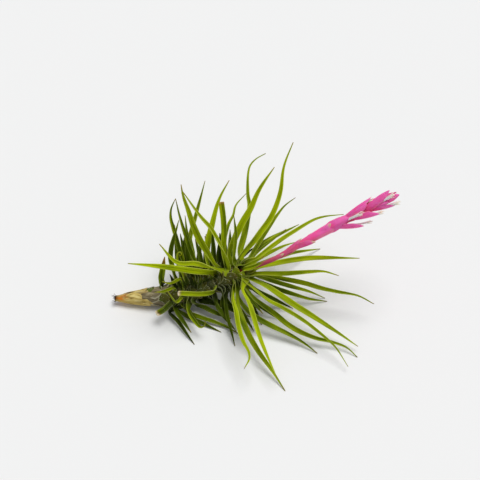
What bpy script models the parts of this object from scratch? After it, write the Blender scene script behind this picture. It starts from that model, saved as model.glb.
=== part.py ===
"""A tillandsia tenuifolia strobiliformis in flower, lifted off its perch and laid on a table.

The leafy shoot lies along X with its cut end at -X, and turns up towards the crown, from which
the pink flower spike rises. The floor is z = 0. Sizes are millimetres until a mesh is made.
"""

import math
from typing import NamedTuple

import bmesh
import bpy
import numpy as np
from mathutils.kdtree import KDTree

MM = 0.001
GAP = 0.3  # between two nodes that touch
WELD = 0.0012  # points closer than this are one point
GOLDEN_ANGLE = math.radians(137.5)

# The crown is where the flower spike leaves the leaves. Every other place is measured from it.
CROWN = np.array([-7.6, -2.8, 24.0])

# The leaves are measured in the plane that faces a viewer looking down at VIEW_TILT: right,
# up, and forward to the viewer.
VIEW_TILT = math.radians(50)
RIGHT = np.array([1.0, 0.0, 0.0])
UP = np.array([0.0, math.sin(VIEW_TILT), math.cos(VIEW_TILT)])
FORWARD = np.array([0.0, -math.cos(VIEW_TILT), math.sin(VIEW_TILT)])
LIGHT = np.array([0.0, -0.5, 0.87])  # blades turn their channels to it

SHOOT_LENGTH = 63.0  # along X, from the cut end to the crown
SHOOT_LOW = 3.7  # height of the cut end's axis over the floor
SHOOT_TURN = 2.8  # power by which the shoot turns up
STEM_RADII = [4.6, 4.5, 4.3, 4.0, 3.7, 3.4, 3.2, 3.0]  # of the shoot's leafy stem up to the crown
STEM_SIDES = 10
STEM_STATIONS = 9

OLD_LENGTH = 20.0  # along X, the dry brown foot of the shoot
OLD_RADII = [1.6, 2.0, 2.9, 3.6, 4.2, 4.6, 4.7]  # evenly spaced from the cut end
OLD_SCALES = 6  # dry sheaths left on the foot
OLD_SCALE_LENGTH = 8.5
OLD_SCALE_LIFT = 0.9  # how far a sheath's end stands off the foot
OLD_SCALES_FROM = 4.5  # the first one's start, from the cut end
OLD_SCALES_CLEAR = 0.4  # from the last one's end to the end of the foot
GREEN_SCALES = 9  # grey sheaths of lost leaves, above the foot
GREEN_SCALE_LENGTH = 11.0
GREEN_SCALE_LIFT = 2.2
GREEN_SCALES_FROM = 0.5  # the first one's start, from the end of the foot
GREEN_SCALES_TO = -18.0  # the last one's start, from the crown
SCALE_WIDTH = 6.5
SCALE_SINK = 0.35  # of a sheath's foot, into the stem

UNEVEN = 0.03  # how far a blade's line strays, so that no two blades share a plane
UNEVEN_SEED = 32
BLADE_THICK = 0.62
BLADE_BASE = 1.75  # times a blade's middle width, where it leaves its sheath
TIP_WIDTH = 0.75
TRIM_SHARE = 0.95  # of the middle width, left where a blade was trimmed
ROOT_DEPTH = 1.2  # of a leaf's root, out from the stem's axis
ROOT_WIDTH = 3.6
SHEATH_WIDTH = 5.6  # at least, where the blade leaves its sheath
SHEATH_LENGTH = 7.0
SHEATH_LEAVES = 0.6  # the share of its length at which the leaf's line leaves the stem
BLADE_FADE = 0.2  # the share of the blade along which it narrows from the sheath's width
BLADE_TAPER = 0.9  # below 1, the blade keeps its width longer
CHANNEL_ANGLE = math.radians(27)  # each half of a blade rises by it from the keel
MOST_TWIST = math.radians(75)
SHORTEST_STATIONS = 4  # along a blade, and one more for each STATION_LENGTH of it
STATION_LENGTH = 13.0
FLOOR_LIFT = 0.2  # of a blade's keel line, where the blade lies on the floor

# The flower spike's line from the crown, first the bare scape and then among the bracts.
SPIKE_LINE = [(0, 0, 0), (14.6, 1.2, 6.5), (30.4, 4.7, 15.6), (52, 9.9, 28.2), (73, 13.9, 39.7)]
SPIKE_FOOT = 4.0  # the scape goes this far down into the crown
SPIKE_RADII = [1.15, 1.15, 1.3, 1.6, 1.8, 1.7, 1.4, 0.9]
SCAPE_SOCKET = 17.0  # leaves are cut clear of the scape this far up from the crown
BRACT_THICK = 0.6
BRACT_ANGLE = math.radians(50)
SCALE_ANGLE = math.radians(38)
BRACT_STATIONS = 5
BRACT_FOOT = 0.8  # of a bract's keel line, out from the spike's axis
BRACT_CURVE = 0.6  # the share of its spread that a bract has early on
SPIKE_SIDES = 8
FLOWER_SIDES = 6


class Leaf(NamedTuple):
    """One leaf: its seat along X from the crown, how far its tip comes forward from the crown
    (None where the tip lies on the floor), the (right, up) points that it runs through, and
    its width half way along."""

    seat: float
    forward: float | None
    run: list
    width: float = 3.0
    trimmed: bool = False


class Bract(NamedTuple):
    """One bract: its seat along the spike, its turn round the spike in degrees from the viewer's
    side, its length, and how far its tip stands off the spike's line."""

    seat: float
    turn: float
    length: float
    spread: float
    width: float = 6.6


LEAVES = [
    # Old leaves round the foot of the shoot, short, some trimmed or curled.
    Leaf(-38, -5, [(-38.5, 0), (-37, 7.5)], 2.6, True),
    Leaf(-36, 2, [(-34, 9), (-29.5, 26)], 2.8),
    Leaf(-40, -4, [(-34, -15.5), (-37, -19), (-41, -21.5)], 3.6, True),
    Leaf(-36, None, [(-30, -23), (-25.5, -29), (-22, -36)], 2.6),
    Leaf(-36, 2, [(-29, -12.5), (-31, -15.5), (-35.5, -9)], 1.8),
    Leaf(-37, 3, [(-32, -8), (-38, -10), (-41.5, -10)], 1.8),
    Leaf(-32, 8, [(-29, -3.5), (-34, -5.5), (-37.5, -4.5)], 1.8),
    Leaf(-34, None, [(-26, -20), (-16, -25), (-8, -30)], 2.6),
    Leaf(-30, 2, [(-25, -17.5), (-21, -23.5), (-18, -27), (-16.5, -24.5)], 2.2),
    Leaf(-30, None, [(-25.5, -15), (-18, -22.5), (0, -30)], 2.6),
    Leaf(-25, -8, [(-14, -17), (-3, -23)], 2.8),
    # Leaves that stand up and back, from left to right.
    Leaf(-30, -8, [(-30, 15), (-33, 27.5), (-31.5, 37)], 2.6),
    Leaf(-22, 5, [(-24.5, 12.5), (-29, 27.5), (-31, 36.5)], 2.4),
    Leaf(-24, -12, [(-24, 11), (-26, 20), (-27, 28.5)], 2.4),
    Leaf(-12, 20, [(-14, 5), (-20.5, 19.5), (-25, 32.5), (-27.5, 42.5)], 3.4),
    Leaf(-4, 26, [(-4.5, 5), (-10, 15), (-18.5, 29), (-26.5, 40.5)], 3.2),
    Leaf(-26, -20, [(-25, 13.5), (-21.5, 29), (-17, 46.5)], 2.8),
    Leaf(-18, -14, [(-16.5, 8.5), (-13.5, 22.5), (-9.5, 37), (-4.5, 46.5)], 3.2),
    Leaf(-9, 2, [(-8, 10), (-8, 22), (-8.5, 35)], 3.8, True),
    Leaf(-8, -25, [(-8, 11), (-5, 22.5), (-2, 32.5), (3.5, 40.5)], 2.4),
    Leaf(-4, 10, [(0.5, 11), (-1, 22.5), (-2.5, 30)], 2.4),
    Leaf(-2, -22, [(4.5, 26.5), (5, 44), (8, 55.5), (14.5, 61)], 2.8),
    Leaf(-6, 8, [(3.5, 22.5), (9.5, 38), (18, 52)], 3.4),
    Leaf(-3, -5, [(8, 16), (16.5, 27.5), (22, 47), (28, 65)], 3.4),
    Leaf(-2, -32, [(14, 20.5), (24, 34), (30, 38.5)], 2.6),
    # Leaves that close round the spike and reach to the right.
    Leaf(-1, -35, [(10, 13), (32, 25)], 2.8),
    Leaf(-2, -28, [(9, 10.5), (25, 22.5)], 2.8),
    Leaf(0, -22, [(18.5, 13.5), (29.5, 20.5), (41, 27), (54, 30)], 2.4),
    Leaf(-1, -30, [(12, 8), (23.5, 13.5), (30, 15.5)], 2.4),
    Leaf(-1, None, [(12, 4.5), (26.5, 9.5), (43.5, 12)], 2.6),
    Leaf(-1, -8, [(19.5, 5), (35.5, 7.3), (61.5, 7.3)], 3.0),
    Leaf(-2, 6, [(16, -0.5), (32, 0.5), (51, -1.7)], 2.6),
    Leaf(-3, -2, [(16, -1.5), (32, -4.2), (60, -12), (68, -16)], 2.8),
    Leaf(-2, None, [(16.5, -5.5), (32, -9.5), (44, -13)], 2.6),
    Leaf(-4, None, [(16.5, -9.5), (32, -13.2), (45, -15.5)], 2.8),
    Leaf(-3, 4, [(16.5, -12.5), (32, -21), (47, -30), (60, -37.5)], 3.2),
    Leaf(-5, None, [(10.5, -15.5), (21.5, -23), (45, -33.5), (58.5, -41)], 3.0),
    Leaf(-4, 12, [(24, -18.5), (37, -28), (46, -34.5), (54, -46.5)], 2.4),
    Leaf(-7, None, [(9, -21.3), (26.5, -32.5), (39.5, -40)], 3.0),
    # Leaves that come forward over the front.
    Leaf(-6, None, [(-0.5, -16.5), (4, -31), (10.5, -41), (23, -57.5)], 3.2),
    Leaf(-2, 22, [(1, -6.5), (6.3, -15.5), (12.5, -36.5), (18.5, -50.5)], 2.6),
    Leaf(-6, 26, [(-3, -8.5), (0, -20), (1, -29), (5.5, -40.5), (3, -46)], 2.8),
    Leaf(-14, None, [(-6.5, -18.5), (-3.5, -30), (-1, -37)], 2.6),
    Leaf(-16, 12, [(-13, -3), (-12, -9), (-16, -10.5), (-29.5, -10)], 2.8),
    Leaf(-5, 22, [(-6.5, 1), (-21, 4.7), (-30, 5.3), (-38, 14)], 2.6),
    Leaf(-14, 24, [(-10.5, -1), (-23.5, 0.8), (-38, 3), (-53, 4.7)], 3.0),
]

HIDDEN_LEAVES = 13  # short ones among and behind the others
HIDDEN_SEED = 7
HIDDEN_SEATS = (-40.0, -4.0)  # the first and the last, from the crown
HIDDEN_LENGTH = 27.0
HIDDEN_GROWTH = 0.3  # how much longer each is than the one before
HIDDEN_SPREAD = math.radians(50)
HIDDEN_STRAY = (3.0, 0.15)  # of the length and the spread
HIDDEN_ARCH = np.array([0.0, 0.0, 1.5])  # of the middle
HIDDEN_WIDTH = 2.4
HIDDEN_TURN = math.radians(235)  # from the front, by the floor, round to the upper back

SCAPE_BRACTS = 6  # the first ones, which lie flat on the scape
SCAPE_BRACT_LENGTH = 12.0
SPIKE_BRACTS = [
    Bract(46.5, 0, 16.7, 3.8, 7.4),
    Bract(49, 190, 15, 3.6),
    Bract(53, 80, 14.7, 6.9),
    Bract(57, -75, 20, 4.3, 6.4),
    Bract(58, 165, 16, 4.6),
    Bract(60.5, 55, 17, 5.8, 7.4),
    Bract(58.5, -35, 15.5, 3.6),
    Bract(62, -125, 15, 4.0),
    Bract(69, -45, 18, 4.9, 7.4),
    Bract(68, 175, 15, 4.4),
    Bract(70, 75, 15.6, 4.5, 6.2),
    Bract(71, 30, 13, 3.2, 5.6),
    Bract(74, -160, 14.6, 3.2),
    Bract(75, 12, 15.2, 2.8, 6.0),
]
FLOWERS = [
    Bract(55.5, 12, 14.7, 3.6),
    Bract(57, 105, 14.6, 6.9),
    Bract(61, -85, 16.4, 3.2),
    Bract(63.5, 68, 15.7, 4.9),
    Bract(71.5, -8, 16.8, 3.4),
    Bract(70, -172, 16, 4.6),
    Bract(74.5, 75, 13.8, 4.0),
]
FLOWER_RADII = [0.5, 0.7, 0.75, 1.0]
PETAL_LOBE = 0.25  # how far the three petals stand out of the tube's round mouth


def unit(vector):
    return vector / np.linalg.norm(vector)


def shoot_point(along):
    """The stem's axis at along, which runs from -SHOOT_LENGTH at the cut end to 0 at the crown."""
    rise = CROWN[2] - SHOOT_LOW
    share = max(0.0, 1 + along / SHOOT_LENGTH)
    return CROWN + np.array([along, 0.0, rise * (share**SHOOT_TURN - 1)])


def stem_radius(along):
    """The stem's own radius at along, on the dry foot and among the leaves."""
    foot = np.linspace(-SHOOT_LENGTH, -SHOOT_LENGTH + OLD_LENGTH, len(OLD_RADII))
    if along < foot[-1]:
        return np.interp(along, foot, OLD_RADII)
    return np.interp(along, np.linspace(foot[-1], 0, len(STEM_RADII)), STEM_RADII)


def shoot_direction(along):
    """The way the stem grows at along."""
    return unit(shoot_point(along + 0.5) - shoot_point(along - 0.5))


def smooth_line(points, count):
    """count points, evenly spaced, on a centripetal Catmull-Rom curve through points."""
    first = 2 * points[0] - points[1]
    last = 2 * points[-1] - points[-2]
    knots = [first, *points, last]
    dense = []
    for a, b, c, d in zip(knots, knots[1:], knots[2:], knots[3:]):
        t1 = math.sqrt(np.linalg.norm(b - a))
        t2 = t1 + math.sqrt(np.linalg.norm(c - b))
        t3 = t2 + math.sqrt(np.linalg.norm(d - c))
        for t in np.linspace(t1, t2, 12, endpoint=False):
            ab = a + (b - a) * t / t1
            bc = b + (c - b) * (t - t1) / (t2 - t1)
            cd = c + (d - c) * (t - t2) / (t3 - t2)
            abc = ab + (bc - ab) * t / t2
            bcd = bc + (cd - bc) * (t - t1) / (t3 - t1)
            dense.append(abc + (bcd - abc) * (t - t1) / (t2 - t1))
    dense = np.array([*dense, points[-1]])
    run = run_along(dense)
    at = np.linspace(0, run[-1], count)
    return np.column_stack([np.interp(at, run, dense[:, k]) for k in range(3)])


def run_along(line):
    """The distance from the start of line to each of its points."""
    return np.concatenate([[0], np.cumsum(np.linalg.norm(np.diff(line, axis=0), axis=1))])


def directions(line):
    """The unit tangent at each point of line."""
    tangents = np.gradient(line, axis=0)
    return tangents / np.linalg.norm(tangents, axis=1)[:, None]


def leaf_line(leaf):
    """The leaf's keel line: out of the stem, along it as a sheath, and then through its points."""
    seat = shoot_point(leaf.seat)
    growth = shoot_direction(leaf.seat)
    start = np.array([(seat - CROWN) @ RIGHT, (seat - CROWN) @ UP])
    depth = (seat - CROWN) @ FORWARD
    run = [start, *np.array(leaf.run, float)]
    if leaf.forward is None:
        tip = -(CROWN[2] - FLOOR_LIFT + run[-1][1] * UP[2]) / FORWARD[2]
    else:
        tip = leaf.forward
    steps = np.cumsum([np.linalg.norm(b - a) for a, b in zip(run, run[1:])])
    points = [
        CROWN + p[0] * RIGHT + p[1] * UP + (depth + (tip - depth) * share) * FORWARD
        for p, share in zip(run[1:], steps / steps[-1])
    ]
    out = points[0] - seat
    out = unit(out - (out @ growth) * growth)
    sheath = seat + growth * SHEATH_LEAVES * SHEATH_LENGTH + out * stem_radius(leaf.seat)
    length = run_along(np.array([seat, sheath, *points]))[-1]
    count = SHORTEST_STATIONS + round(length / STATION_LENGTH)
    line = smooth_line([seat + ROOT_DEPTH * out, sheath, *points], count)
    line[:, 2] = np.maximum(line[:, 2], FLOOR_LIFT)
    return line, growth


def blade_normals(line, first):
    """The side of the channel at each point of line: first at the root, carried along without
    spin, and turned to the light by up to MOST_TWIST over the first half."""
    tangents = directions(line)
    normal = first
    normals = []
    for tangent in tangents:
        normal = unit(normal - (normal @ tangent) * tangent)
        normals.append(normal)
    middle = len(line) // 2
    tangent, normal = tangents[middle], normals[middle]
    wanted = LIGHT - (LIGHT @ tangent) * tangent
    twist = math.atan2(np.cross(normal, wanted) @ tangent, normal @ wanted)
    twist = max(-MOST_TWIST, min(MOST_TWIST, twist))
    turned = []
    for tangent, normal, share in zip(tangents, normals, np.linspace(0, 2, len(line))):
        share = min(share, 1.0)
        angle = twist * share * share * (3 - 2 * share)
        turned.append(math.cos(angle) * normal + math.sin(angle) * np.cross(tangent, normal))
    return np.array(turned)


def leaf_half_width(leaf, along, length):
    """Half the blade's width at a distance from its seat."""
    base = BLADE_BASE * leaf.width
    end = TRIM_SHARE * leaf.width if leaf.trimmed else TIP_WIDTH
    sheath = max(base, SHEATH_WIDTH)
    if along < SHEATH_LENGTH:
        share = along / SHEATH_LENGTH
        return 0.5 * ((1 - share) * ROOT_WIDTH + share * sheath)
    share = (along - SHEATH_LENGTH) / (length - SHEATH_LENGTH)
    base += (sheath - base) * max(0.0, 1 - share / BLADE_FADE)
    return 0.5 * (end + (base - end) * (1 - share) ** BLADE_TAPER)


def closed_loft(name, rings):
    """A closed solid through rings of points, with flat ends and nothing under the floor."""
    mesh = bmesh.new()
    rows = []
    for ring in rings:
        rows.append([mesh.verts.new((x * MM, y * MM, max(z, 0.0) * MM)) for x, y, z in ring])
    sides = len(rings[0])
    for row, following in zip(rows, rows[1:]):
        for k in range(sides):
            after = (k + 1) % sides
            mesh.faces.new((row[k], row[after], following[after], following[k]))
    mesh.faces.new(rows[0])
    mesh.faces.new(rows[-1])
    bmesh.ops.triangulate(mesh, faces=mesh.faces)
    bmesh.ops.recalc_face_normals(mesh, faces=mesh.faces)
    data = bpy.data.meshes.new(name)
    mesh.to_mesh(data)
    mesh.free()
    return bpy.data.objects.new(name, data)


def channel(name, line, normals, halves, angle, thick):
    """A thin blade along line, folded up along its keel towards normals, a little uneven."""
    draw = np.random.default_rng(UNEVEN_SEED + sum(map(ord, name)))
    rings = []
    for place, tangent, normal, half in zip(line, directions(line), normals, halves):
        side = half * math.cos(angle) * np.cross(tangent, normal)
        rise = half * math.sin(angle) * normal
        skin = 0.5 * thick / math.cos(angle) * normal
        edges = [side + rise, -side + rise]
        place = place + draw.uniform(-UNEVEN, UNEVEN, 3)
        rings.append(
            [
                place + edges[0] + skin,
                place + edges[0] - skin,
                place - skin,
                place + edges[1] - skin,
                place + edges[1] + skin,
                place + skin,
            ]
        )
    return closed_loft(name, rings)


def leaf_blade(name, leaf):
    """A leaf as a thin channelled solid that narrows to its tip."""
    line, growth = leaf_line(leaf)
    run = run_along(line)
    halves = [leaf_half_width(leaf, along, run[-1]) for along in run]
    return channel(name, line, blade_normals(line, growth), halves, CHANNEL_ANGLE, BLADE_THICK)


def hidden_leaves():
    """Short leaves under and behind the shoot, one each golden angle round its back half."""
    draw = np.random.default_rng(HIDDEN_SEED)
    first, last = HIDDEN_SEATS
    found = []
    for k in range(HIDDEN_LEAVES):
        along = first + (last - first) * (k + 0.5) / HIDDEN_LEAVES
        seat = shoot_point(along)
        turn = (k * GOLDEN_ANGLE) % HIDDEN_TURN
        length = HIDDEN_LENGTH + HIDDEN_GROWTH * k + HIDDEN_STRAY[0] * draw.uniform(-1, 1)
        spread = HIDDEN_SPREAD + HIDDEN_STRAY[1] * draw.uniform(-1, 1)
        across = length * math.sin(spread)
        reach = np.array([length * math.cos(spread), -across * math.cos(turn), 0.0])
        tip = seat + reach
        tip[2] = max(FLOOR_LIFT, seat[2] - across * math.sin(turn))
        middle = 0.5 * (seat + tip) + HIDDEN_ARCH
        run = [((p - CROWN) @ RIGHT, (p - CROWN) @ UP) for p in (middle, tip)]
        found.append(Leaf(along, (tip - CROWN) @ FORWARD, run, HIDDEN_WIDTH))
    return found


def tube_rings(line, radii, sides, lobe=0.0, phase=0.5):
    """Rings round line, with flats at the bottom, for a closed loft. lobe lifts three petals
    out of the last ring."""
    rings = []
    normal = np.array([0.0, 0.0, 1.0])
    last = len(line) - 1
    for k, (place, tangent, radius) in enumerate(zip(line, directions(line), radii)):
        normal = unit(normal - (normal @ tangent) * tangent)
        across = np.cross(tangent, normal)
        ring = []
        for side in range(sides):
            turn = 2 * math.pi * (side + phase) / sides
            far = radius * (1 + (lobe if k == last and side % 2 == 0 else 0.0))
            ring.append(place + far * (math.cos(turn) * normal + math.sin(turn) * across))
        rings.append(ring)
    return rings


def spike_points():
    return [CROWN + np.array(p, float) for p in SPIKE_LINE]


def spike_line(count):
    """The spike's axis from the crown to the last bract's seat."""
    return smooth_line(spike_points(), count)


def spike_place(along):
    """A point on the spike's axis, its direction there, and the way to the viewer across it."""
    line = spike_line(60)
    run = run_along(line)
    place = np.array([np.interp(along, run, line[:, k]) for k in range(3)])
    beyond = max(0.0, along - run[-1])
    tangents = directions(line)
    tangent = unit(np.array([np.interp(along, run, tangents[:, k]) for k in range(3)]))
    facing = unit(FORWARD - (FORWARD @ tangent) * tangent)
    return place + beyond * tangent, tangent, facing


def bract_line(bract, count):
    """The keel line of a bract, from inside the spike out to its tip, and the way outwards."""
    turn = math.radians(bract.turn)
    points, outward = [], []
    for share in np.linspace(0, 1, count):
        place, tangent, facing = spike_place(bract.seat + bract.length * share)
        out = math.cos(turn) * facing + math.sin(turn) * np.cross(tangent, facing)
        early = math.sin(0.5 * math.pi * share)
        rise = BRACT_CURVE * early + (1 - BRACT_CURVE) * share**2
        stand = BRACT_FOOT + (bract.spread - BRACT_FOOT) * rise
        points.append(place + stand * out)
        outward.append(out)
    return np.array(points), np.array(outward)


def bract_blade(name, bract):
    line, outward = bract_line(bract, BRACT_STATIONS)
    shares = np.linspace(0, 1, BRACT_STATIONS)
    halves = 0.5 * bract.width * np.interp(shares, [0, 0.4, 0.75, 1], [0.6, 1, 0.8, 0.15])
    return channel(name, line, -outward, halves, BRACT_ANGLE, BRACT_THICK)


def scape_bracts():
    """The bracts that lie flat on the scape, one each golden angle round it."""
    turns = [math.degrees(k * GOLDEN_ANGLE) for k in range(SCAPE_BRACTS)]
    return [
        Bract(14 + 5.6 * k, turn, SCAPE_BRACT_LENGTH, 2 + 0.2 * k, 3.4 + 0.4 * k)
        for k, turn in enumerate(turns)
    ]


def flower_tube(name, flower, grow=0.0):
    """A flower's closed tube of three petals, or grown on all sides, the room that it needs."""
    longer = flower._replace(seat=flower.seat - grow, length=flower.length + 2 * grow)
    line, _ = bract_line(longer, len(FLOWER_RADII))
    radii = [radius * (1 + PETAL_LOBE if grow else 1) + 1.2 * grow for radius in FLOWER_RADII]
    return closed_loft(name, tube_rings(line, radii, FLOWER_SIDES, 0.0 if grow else PETAL_LOBE))


def clasping_scale(name, start, length, turn, lift):
    """A sheath without its blade, which clasps the shoot and stands off it by lift at its end."""
    line, outward = [], []
    for along in np.linspace(start, start + length, BRACT_STATIONS):
        tangent = shoot_direction(along)
        back = unit(np.cross([0.0, 0.0, 1.0], tangent))
        out = math.cos(turn) * back + math.sin(turn) * np.cross(tangent, back)
        away = stem_radius(along) - SCALE_SINK + lift * ((along - start) / length) ** 2
        line.append(shoot_point(along) + away * out)
        outward.append(out)
    shares = np.linspace(0, 1, BRACT_STATIONS)
    halves = 0.5 * SCALE_WIDTH * np.interp(shares, [0, 0.5, 1], [0.7, 1, 0.35])
    return channel(name, np.array(line), -np.array(outward), halves, SCALE_ANGLE, BRACT_THICK)


def clasping_scales(name, count, first, last, length, lift):
    """A number of them, one each golden angle round the shoot, from first to last."""
    return [
        clasping_scale(f"{name}_{k}", start, length, k * GOLDEN_ANGLE, lift)
        for k, start in enumerate(np.linspace(first, last, count))
    ]


def finish(name, colour, roughness):
    """A plain surface with the part's colour."""
    material = bpy.data.materials.new(name)
    material.use_nodes = True
    shader = material.node_tree.nodes["Principled BSDF"]
    shader.inputs["Base Color"].default_value = (*colour, 1)
    shader.inputs["Roughness"].default_value = roughness
    shader.inputs["Metallic"].default_value = 0
    return material


def collection_of(name):
    made = bpy.data.collections.new(name)
    bpy.context.scene.collection.children.link(made)
    return made


def boolean(target, operation, tools):
    """target joined with, or cut by, all of tools, which then go."""
    group = collection_of("tools")
    for tool in tools:
        group.objects.link(tool)
    modifier = target.modifiers.new(operation.lower(), "BOOLEAN")
    modifier.operation = operation
    modifier.operand_type = "COLLECTION"
    modifier.collection = group
    modifier.solver = "MANIFOLD"  # the exact solver leaves open edges where thin blades cross
    bpy.context.view_layer.update()
    graph = bpy.context.evaluated_depsgraph_get()
    result = bpy.data.meshes.new_from_object(target.evaluated_get(graph))
    target.modifiers.clear()
    target.data = result
    for tool in tools:
        bpy.data.objects.remove(tool)
    bpy.data.collections.remove(group)


def part_close_points(mesh):
    """Move points of two walls that all but meet away from each other, so they stay two."""
    mesh.verts.ensure_lookup_table()
    tree = KDTree(len(mesh.verts))
    for vert in mesh.verts:
        tree.insert(vert.co, vert.index)
    tree.balance()
    moves = []
    for vert in mesh.verts:
        for place, index, distance in tree.find_range(vert.co, WELD * MM):
            if index != vert.index:
                away = vert.co - place if distance > 0 else vert.normal * -MM
                moves.append((vert, away.normalized() * WELD * MM))
    for vert, move in moves:
        vert.co += move


def tidy_mesh(data):
    """Take out the shortest edges, and keep the largest skin: loose scraps and hollows go."""
    mesh = bmesh.new()
    mesh.from_mesh(data)
    bmesh.ops.triangulate(mesh, faces=mesh.faces, ngon_method="EAR_CLIP")
    bmesh.ops.dissolve_degenerate(mesh, edges=mesh.edges, dist=WELD * MM)
    part_close_points(mesh)
    left = set(mesh.faces)
    skins = []
    while left:
        skin, front = [], [left.pop()]
        while front:
            face = front.pop()
            skin.append(face)
            for edge in face.edges:
                for other in edge.link_faces:
                    if other in left:
                        left.remove(other)
                        front.append(other)
        skins.append(skin)
    skins.sort(key=len)
    for skin in skins[:-1]:
        bmesh.ops.delete(mesh, geom=skin, context="FACES")
    mesh.to_mesh(data)
    mesh.free()


def leafy_stem(plant):
    """The green shoot with its leaves, as one body, with a socket for the scape."""
    first = -SHOOT_LENGTH + OLD_LENGTH + GAP
    along = np.linspace(first, 0, STEM_STATIONS)
    line = np.array([shoot_point(a) for a in along])
    stem = closed_loft("leafy_stem", tube_rings(line, [stem_radius(a) for a in along], STEM_SIDES))
    plant.objects.link(stem)
    leaves = [*LEAVES, *hidden_leaves()]
    growth = [leaf_blade(f"leaf_{k}", leaf) for k, leaf in enumerate(leaves)]
    growth += clasping_scales(
        "sheath",
        GREEN_SCALES,
        first + GREEN_SCALES_FROM,
        GREEN_SCALES_TO,
        GREEN_SCALE_LENGTH,
        GREEN_SCALE_LIFT,
    )
    boolean(stem, "UNION", growth)
    foot, tangent, _ = spike_place(0)
    top, _, _ = spike_place(SCAPE_SOCKET)
    ends = np.linspace(foot - (SPIKE_FOOT + GAP) * tangent, top, 3)
    room = [SPIKE_RADII[0] + 1.1 * GAP] * len(ends)  # its flats lie nearer than its corners
    boolean(stem, "DIFFERENCE", [closed_loft("scape_socket", tube_rings(ends, room, STEM_SIDES))])
    tidy_mesh(stem.data)
    return stem


def old_stem(plant):
    """The dry foot of the shoot, from its cut end to the green part, with its old sheaths."""
    along = np.linspace(-SHOOT_LENGTH, -SHOOT_LENGTH + OLD_LENGTH, len(OLD_RADII))
    line = np.array([shoot_point(a) for a in along])
    foot = closed_loft("old_stem", tube_rings(line, OLD_RADII, STEM_SIDES))
    plant.objects.link(foot)
    start = along[0] + OLD_SCALES_FROM
    last = along[-1] - OLD_SCALE_LENGTH - OLD_SCALES_CLEAR
    scales = clasping_scales("scale", OLD_SCALES, start, last, OLD_SCALE_LENGTH, OLD_SCALE_LIFT)
    boolean(foot, "UNION", scales)
    tidy_mesh(foot.data)
    return foot


def flower_spike(plant):
    """The scape with its bracts, as one body, with a socket for each flower."""
    line = spike_line(len(SPIKE_RADII))
    foot, tangent, _ = spike_place(0)
    line = np.array([foot - SPIKE_FOOT * tangent, *line])
    spike = closed_loft("flower_spike", tube_rings(line, [SPIKE_RADII[0], *SPIKE_RADII], SPIKE_SIDES))
    plant.objects.link(spike)
    bracts = [*scape_bracts(), *SPIKE_BRACTS]
    boolean(spike, "UNION", [bract_blade(f"bract_{k}", bract) for k, bract in enumerate(bracts)])
    rooms = [flower_tube(f"room_{k}", flower, GAP) for k, flower in enumerate(FLOWERS)]
    boolean(spike, "DIFFERENCE", rooms)
    tidy_mesh(spike.data)
    return spike


def main():
    for thing in list(bpy.data.objects):
        bpy.data.objects.remove(thing)
    plant = collection_of("tillandsia")
    green = finish("leaf_green", (0.16, 0.27, 0.02), 0.5)
    brown = finish("dry_stem_brown", (0.30, 0.17, 0.06), 0.8)
    pink = finish("bract_pink", (0.80, 0.05, 0.27), 0.45)
    white = finish("petal_white", (0.85, 0.82, 0.70), 0.6)
    pieces = [(leafy_stem(plant), green), (old_stem(plant), brown), (flower_spike(plant), pink)]
    for number, flower in enumerate(FLOWERS, 1):
        tube = flower_tube(f"flower_{number}", flower)
        plant.objects.link(tube)
        pieces.append((tube, white))
    for piece, surface in pieces:
        piece.data.materials.clear()
        piece.data.materials.append(surface)


if __name__ == "__main__":
    main()
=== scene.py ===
"""Looks of a tillandsia in flower, lying on a pale table.

Every leaf, bract, sheath, petal and fibre is a folded section swept along its own line, by one
Geometry Nodes tree. The lines follow the solids' own rules, so each piece stays where its solid
is. Sizes are millimetres until a mesh is made, and +Z is up.
"""

import logging
import math
from dataclasses import dataclass, field
from enum import Enum
from functools import cached_property

import bpy
import numpy as np
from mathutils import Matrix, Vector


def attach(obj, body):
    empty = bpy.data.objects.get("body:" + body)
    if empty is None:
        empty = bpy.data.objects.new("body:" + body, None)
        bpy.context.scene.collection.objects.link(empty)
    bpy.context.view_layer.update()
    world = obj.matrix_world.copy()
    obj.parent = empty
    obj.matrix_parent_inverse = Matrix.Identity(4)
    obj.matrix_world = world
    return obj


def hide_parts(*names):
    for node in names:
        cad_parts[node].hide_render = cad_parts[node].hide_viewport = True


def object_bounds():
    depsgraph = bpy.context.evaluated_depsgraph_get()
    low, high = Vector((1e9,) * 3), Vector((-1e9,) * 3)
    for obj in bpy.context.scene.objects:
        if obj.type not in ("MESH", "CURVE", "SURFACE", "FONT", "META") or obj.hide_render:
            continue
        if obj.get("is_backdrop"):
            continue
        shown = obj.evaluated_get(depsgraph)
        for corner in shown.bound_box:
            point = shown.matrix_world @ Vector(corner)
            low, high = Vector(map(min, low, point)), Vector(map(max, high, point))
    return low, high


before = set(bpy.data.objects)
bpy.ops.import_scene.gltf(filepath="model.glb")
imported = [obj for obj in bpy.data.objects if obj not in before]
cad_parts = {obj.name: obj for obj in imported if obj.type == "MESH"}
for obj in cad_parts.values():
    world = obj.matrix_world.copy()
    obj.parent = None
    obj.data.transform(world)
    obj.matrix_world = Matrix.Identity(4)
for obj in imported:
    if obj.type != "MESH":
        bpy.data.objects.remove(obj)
CAD_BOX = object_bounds()

LOG = logging.getLogger("tillandsia")
MM = 0.001
BODY = "root"
GOLDEN_ANGLE = math.radians(137.5)
MATH = "ShaderNodeMath"
VECTOR = "ShaderNodeVectorMath"
NAMED = "GeometryNodeInputNamedAttribute"

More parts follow.
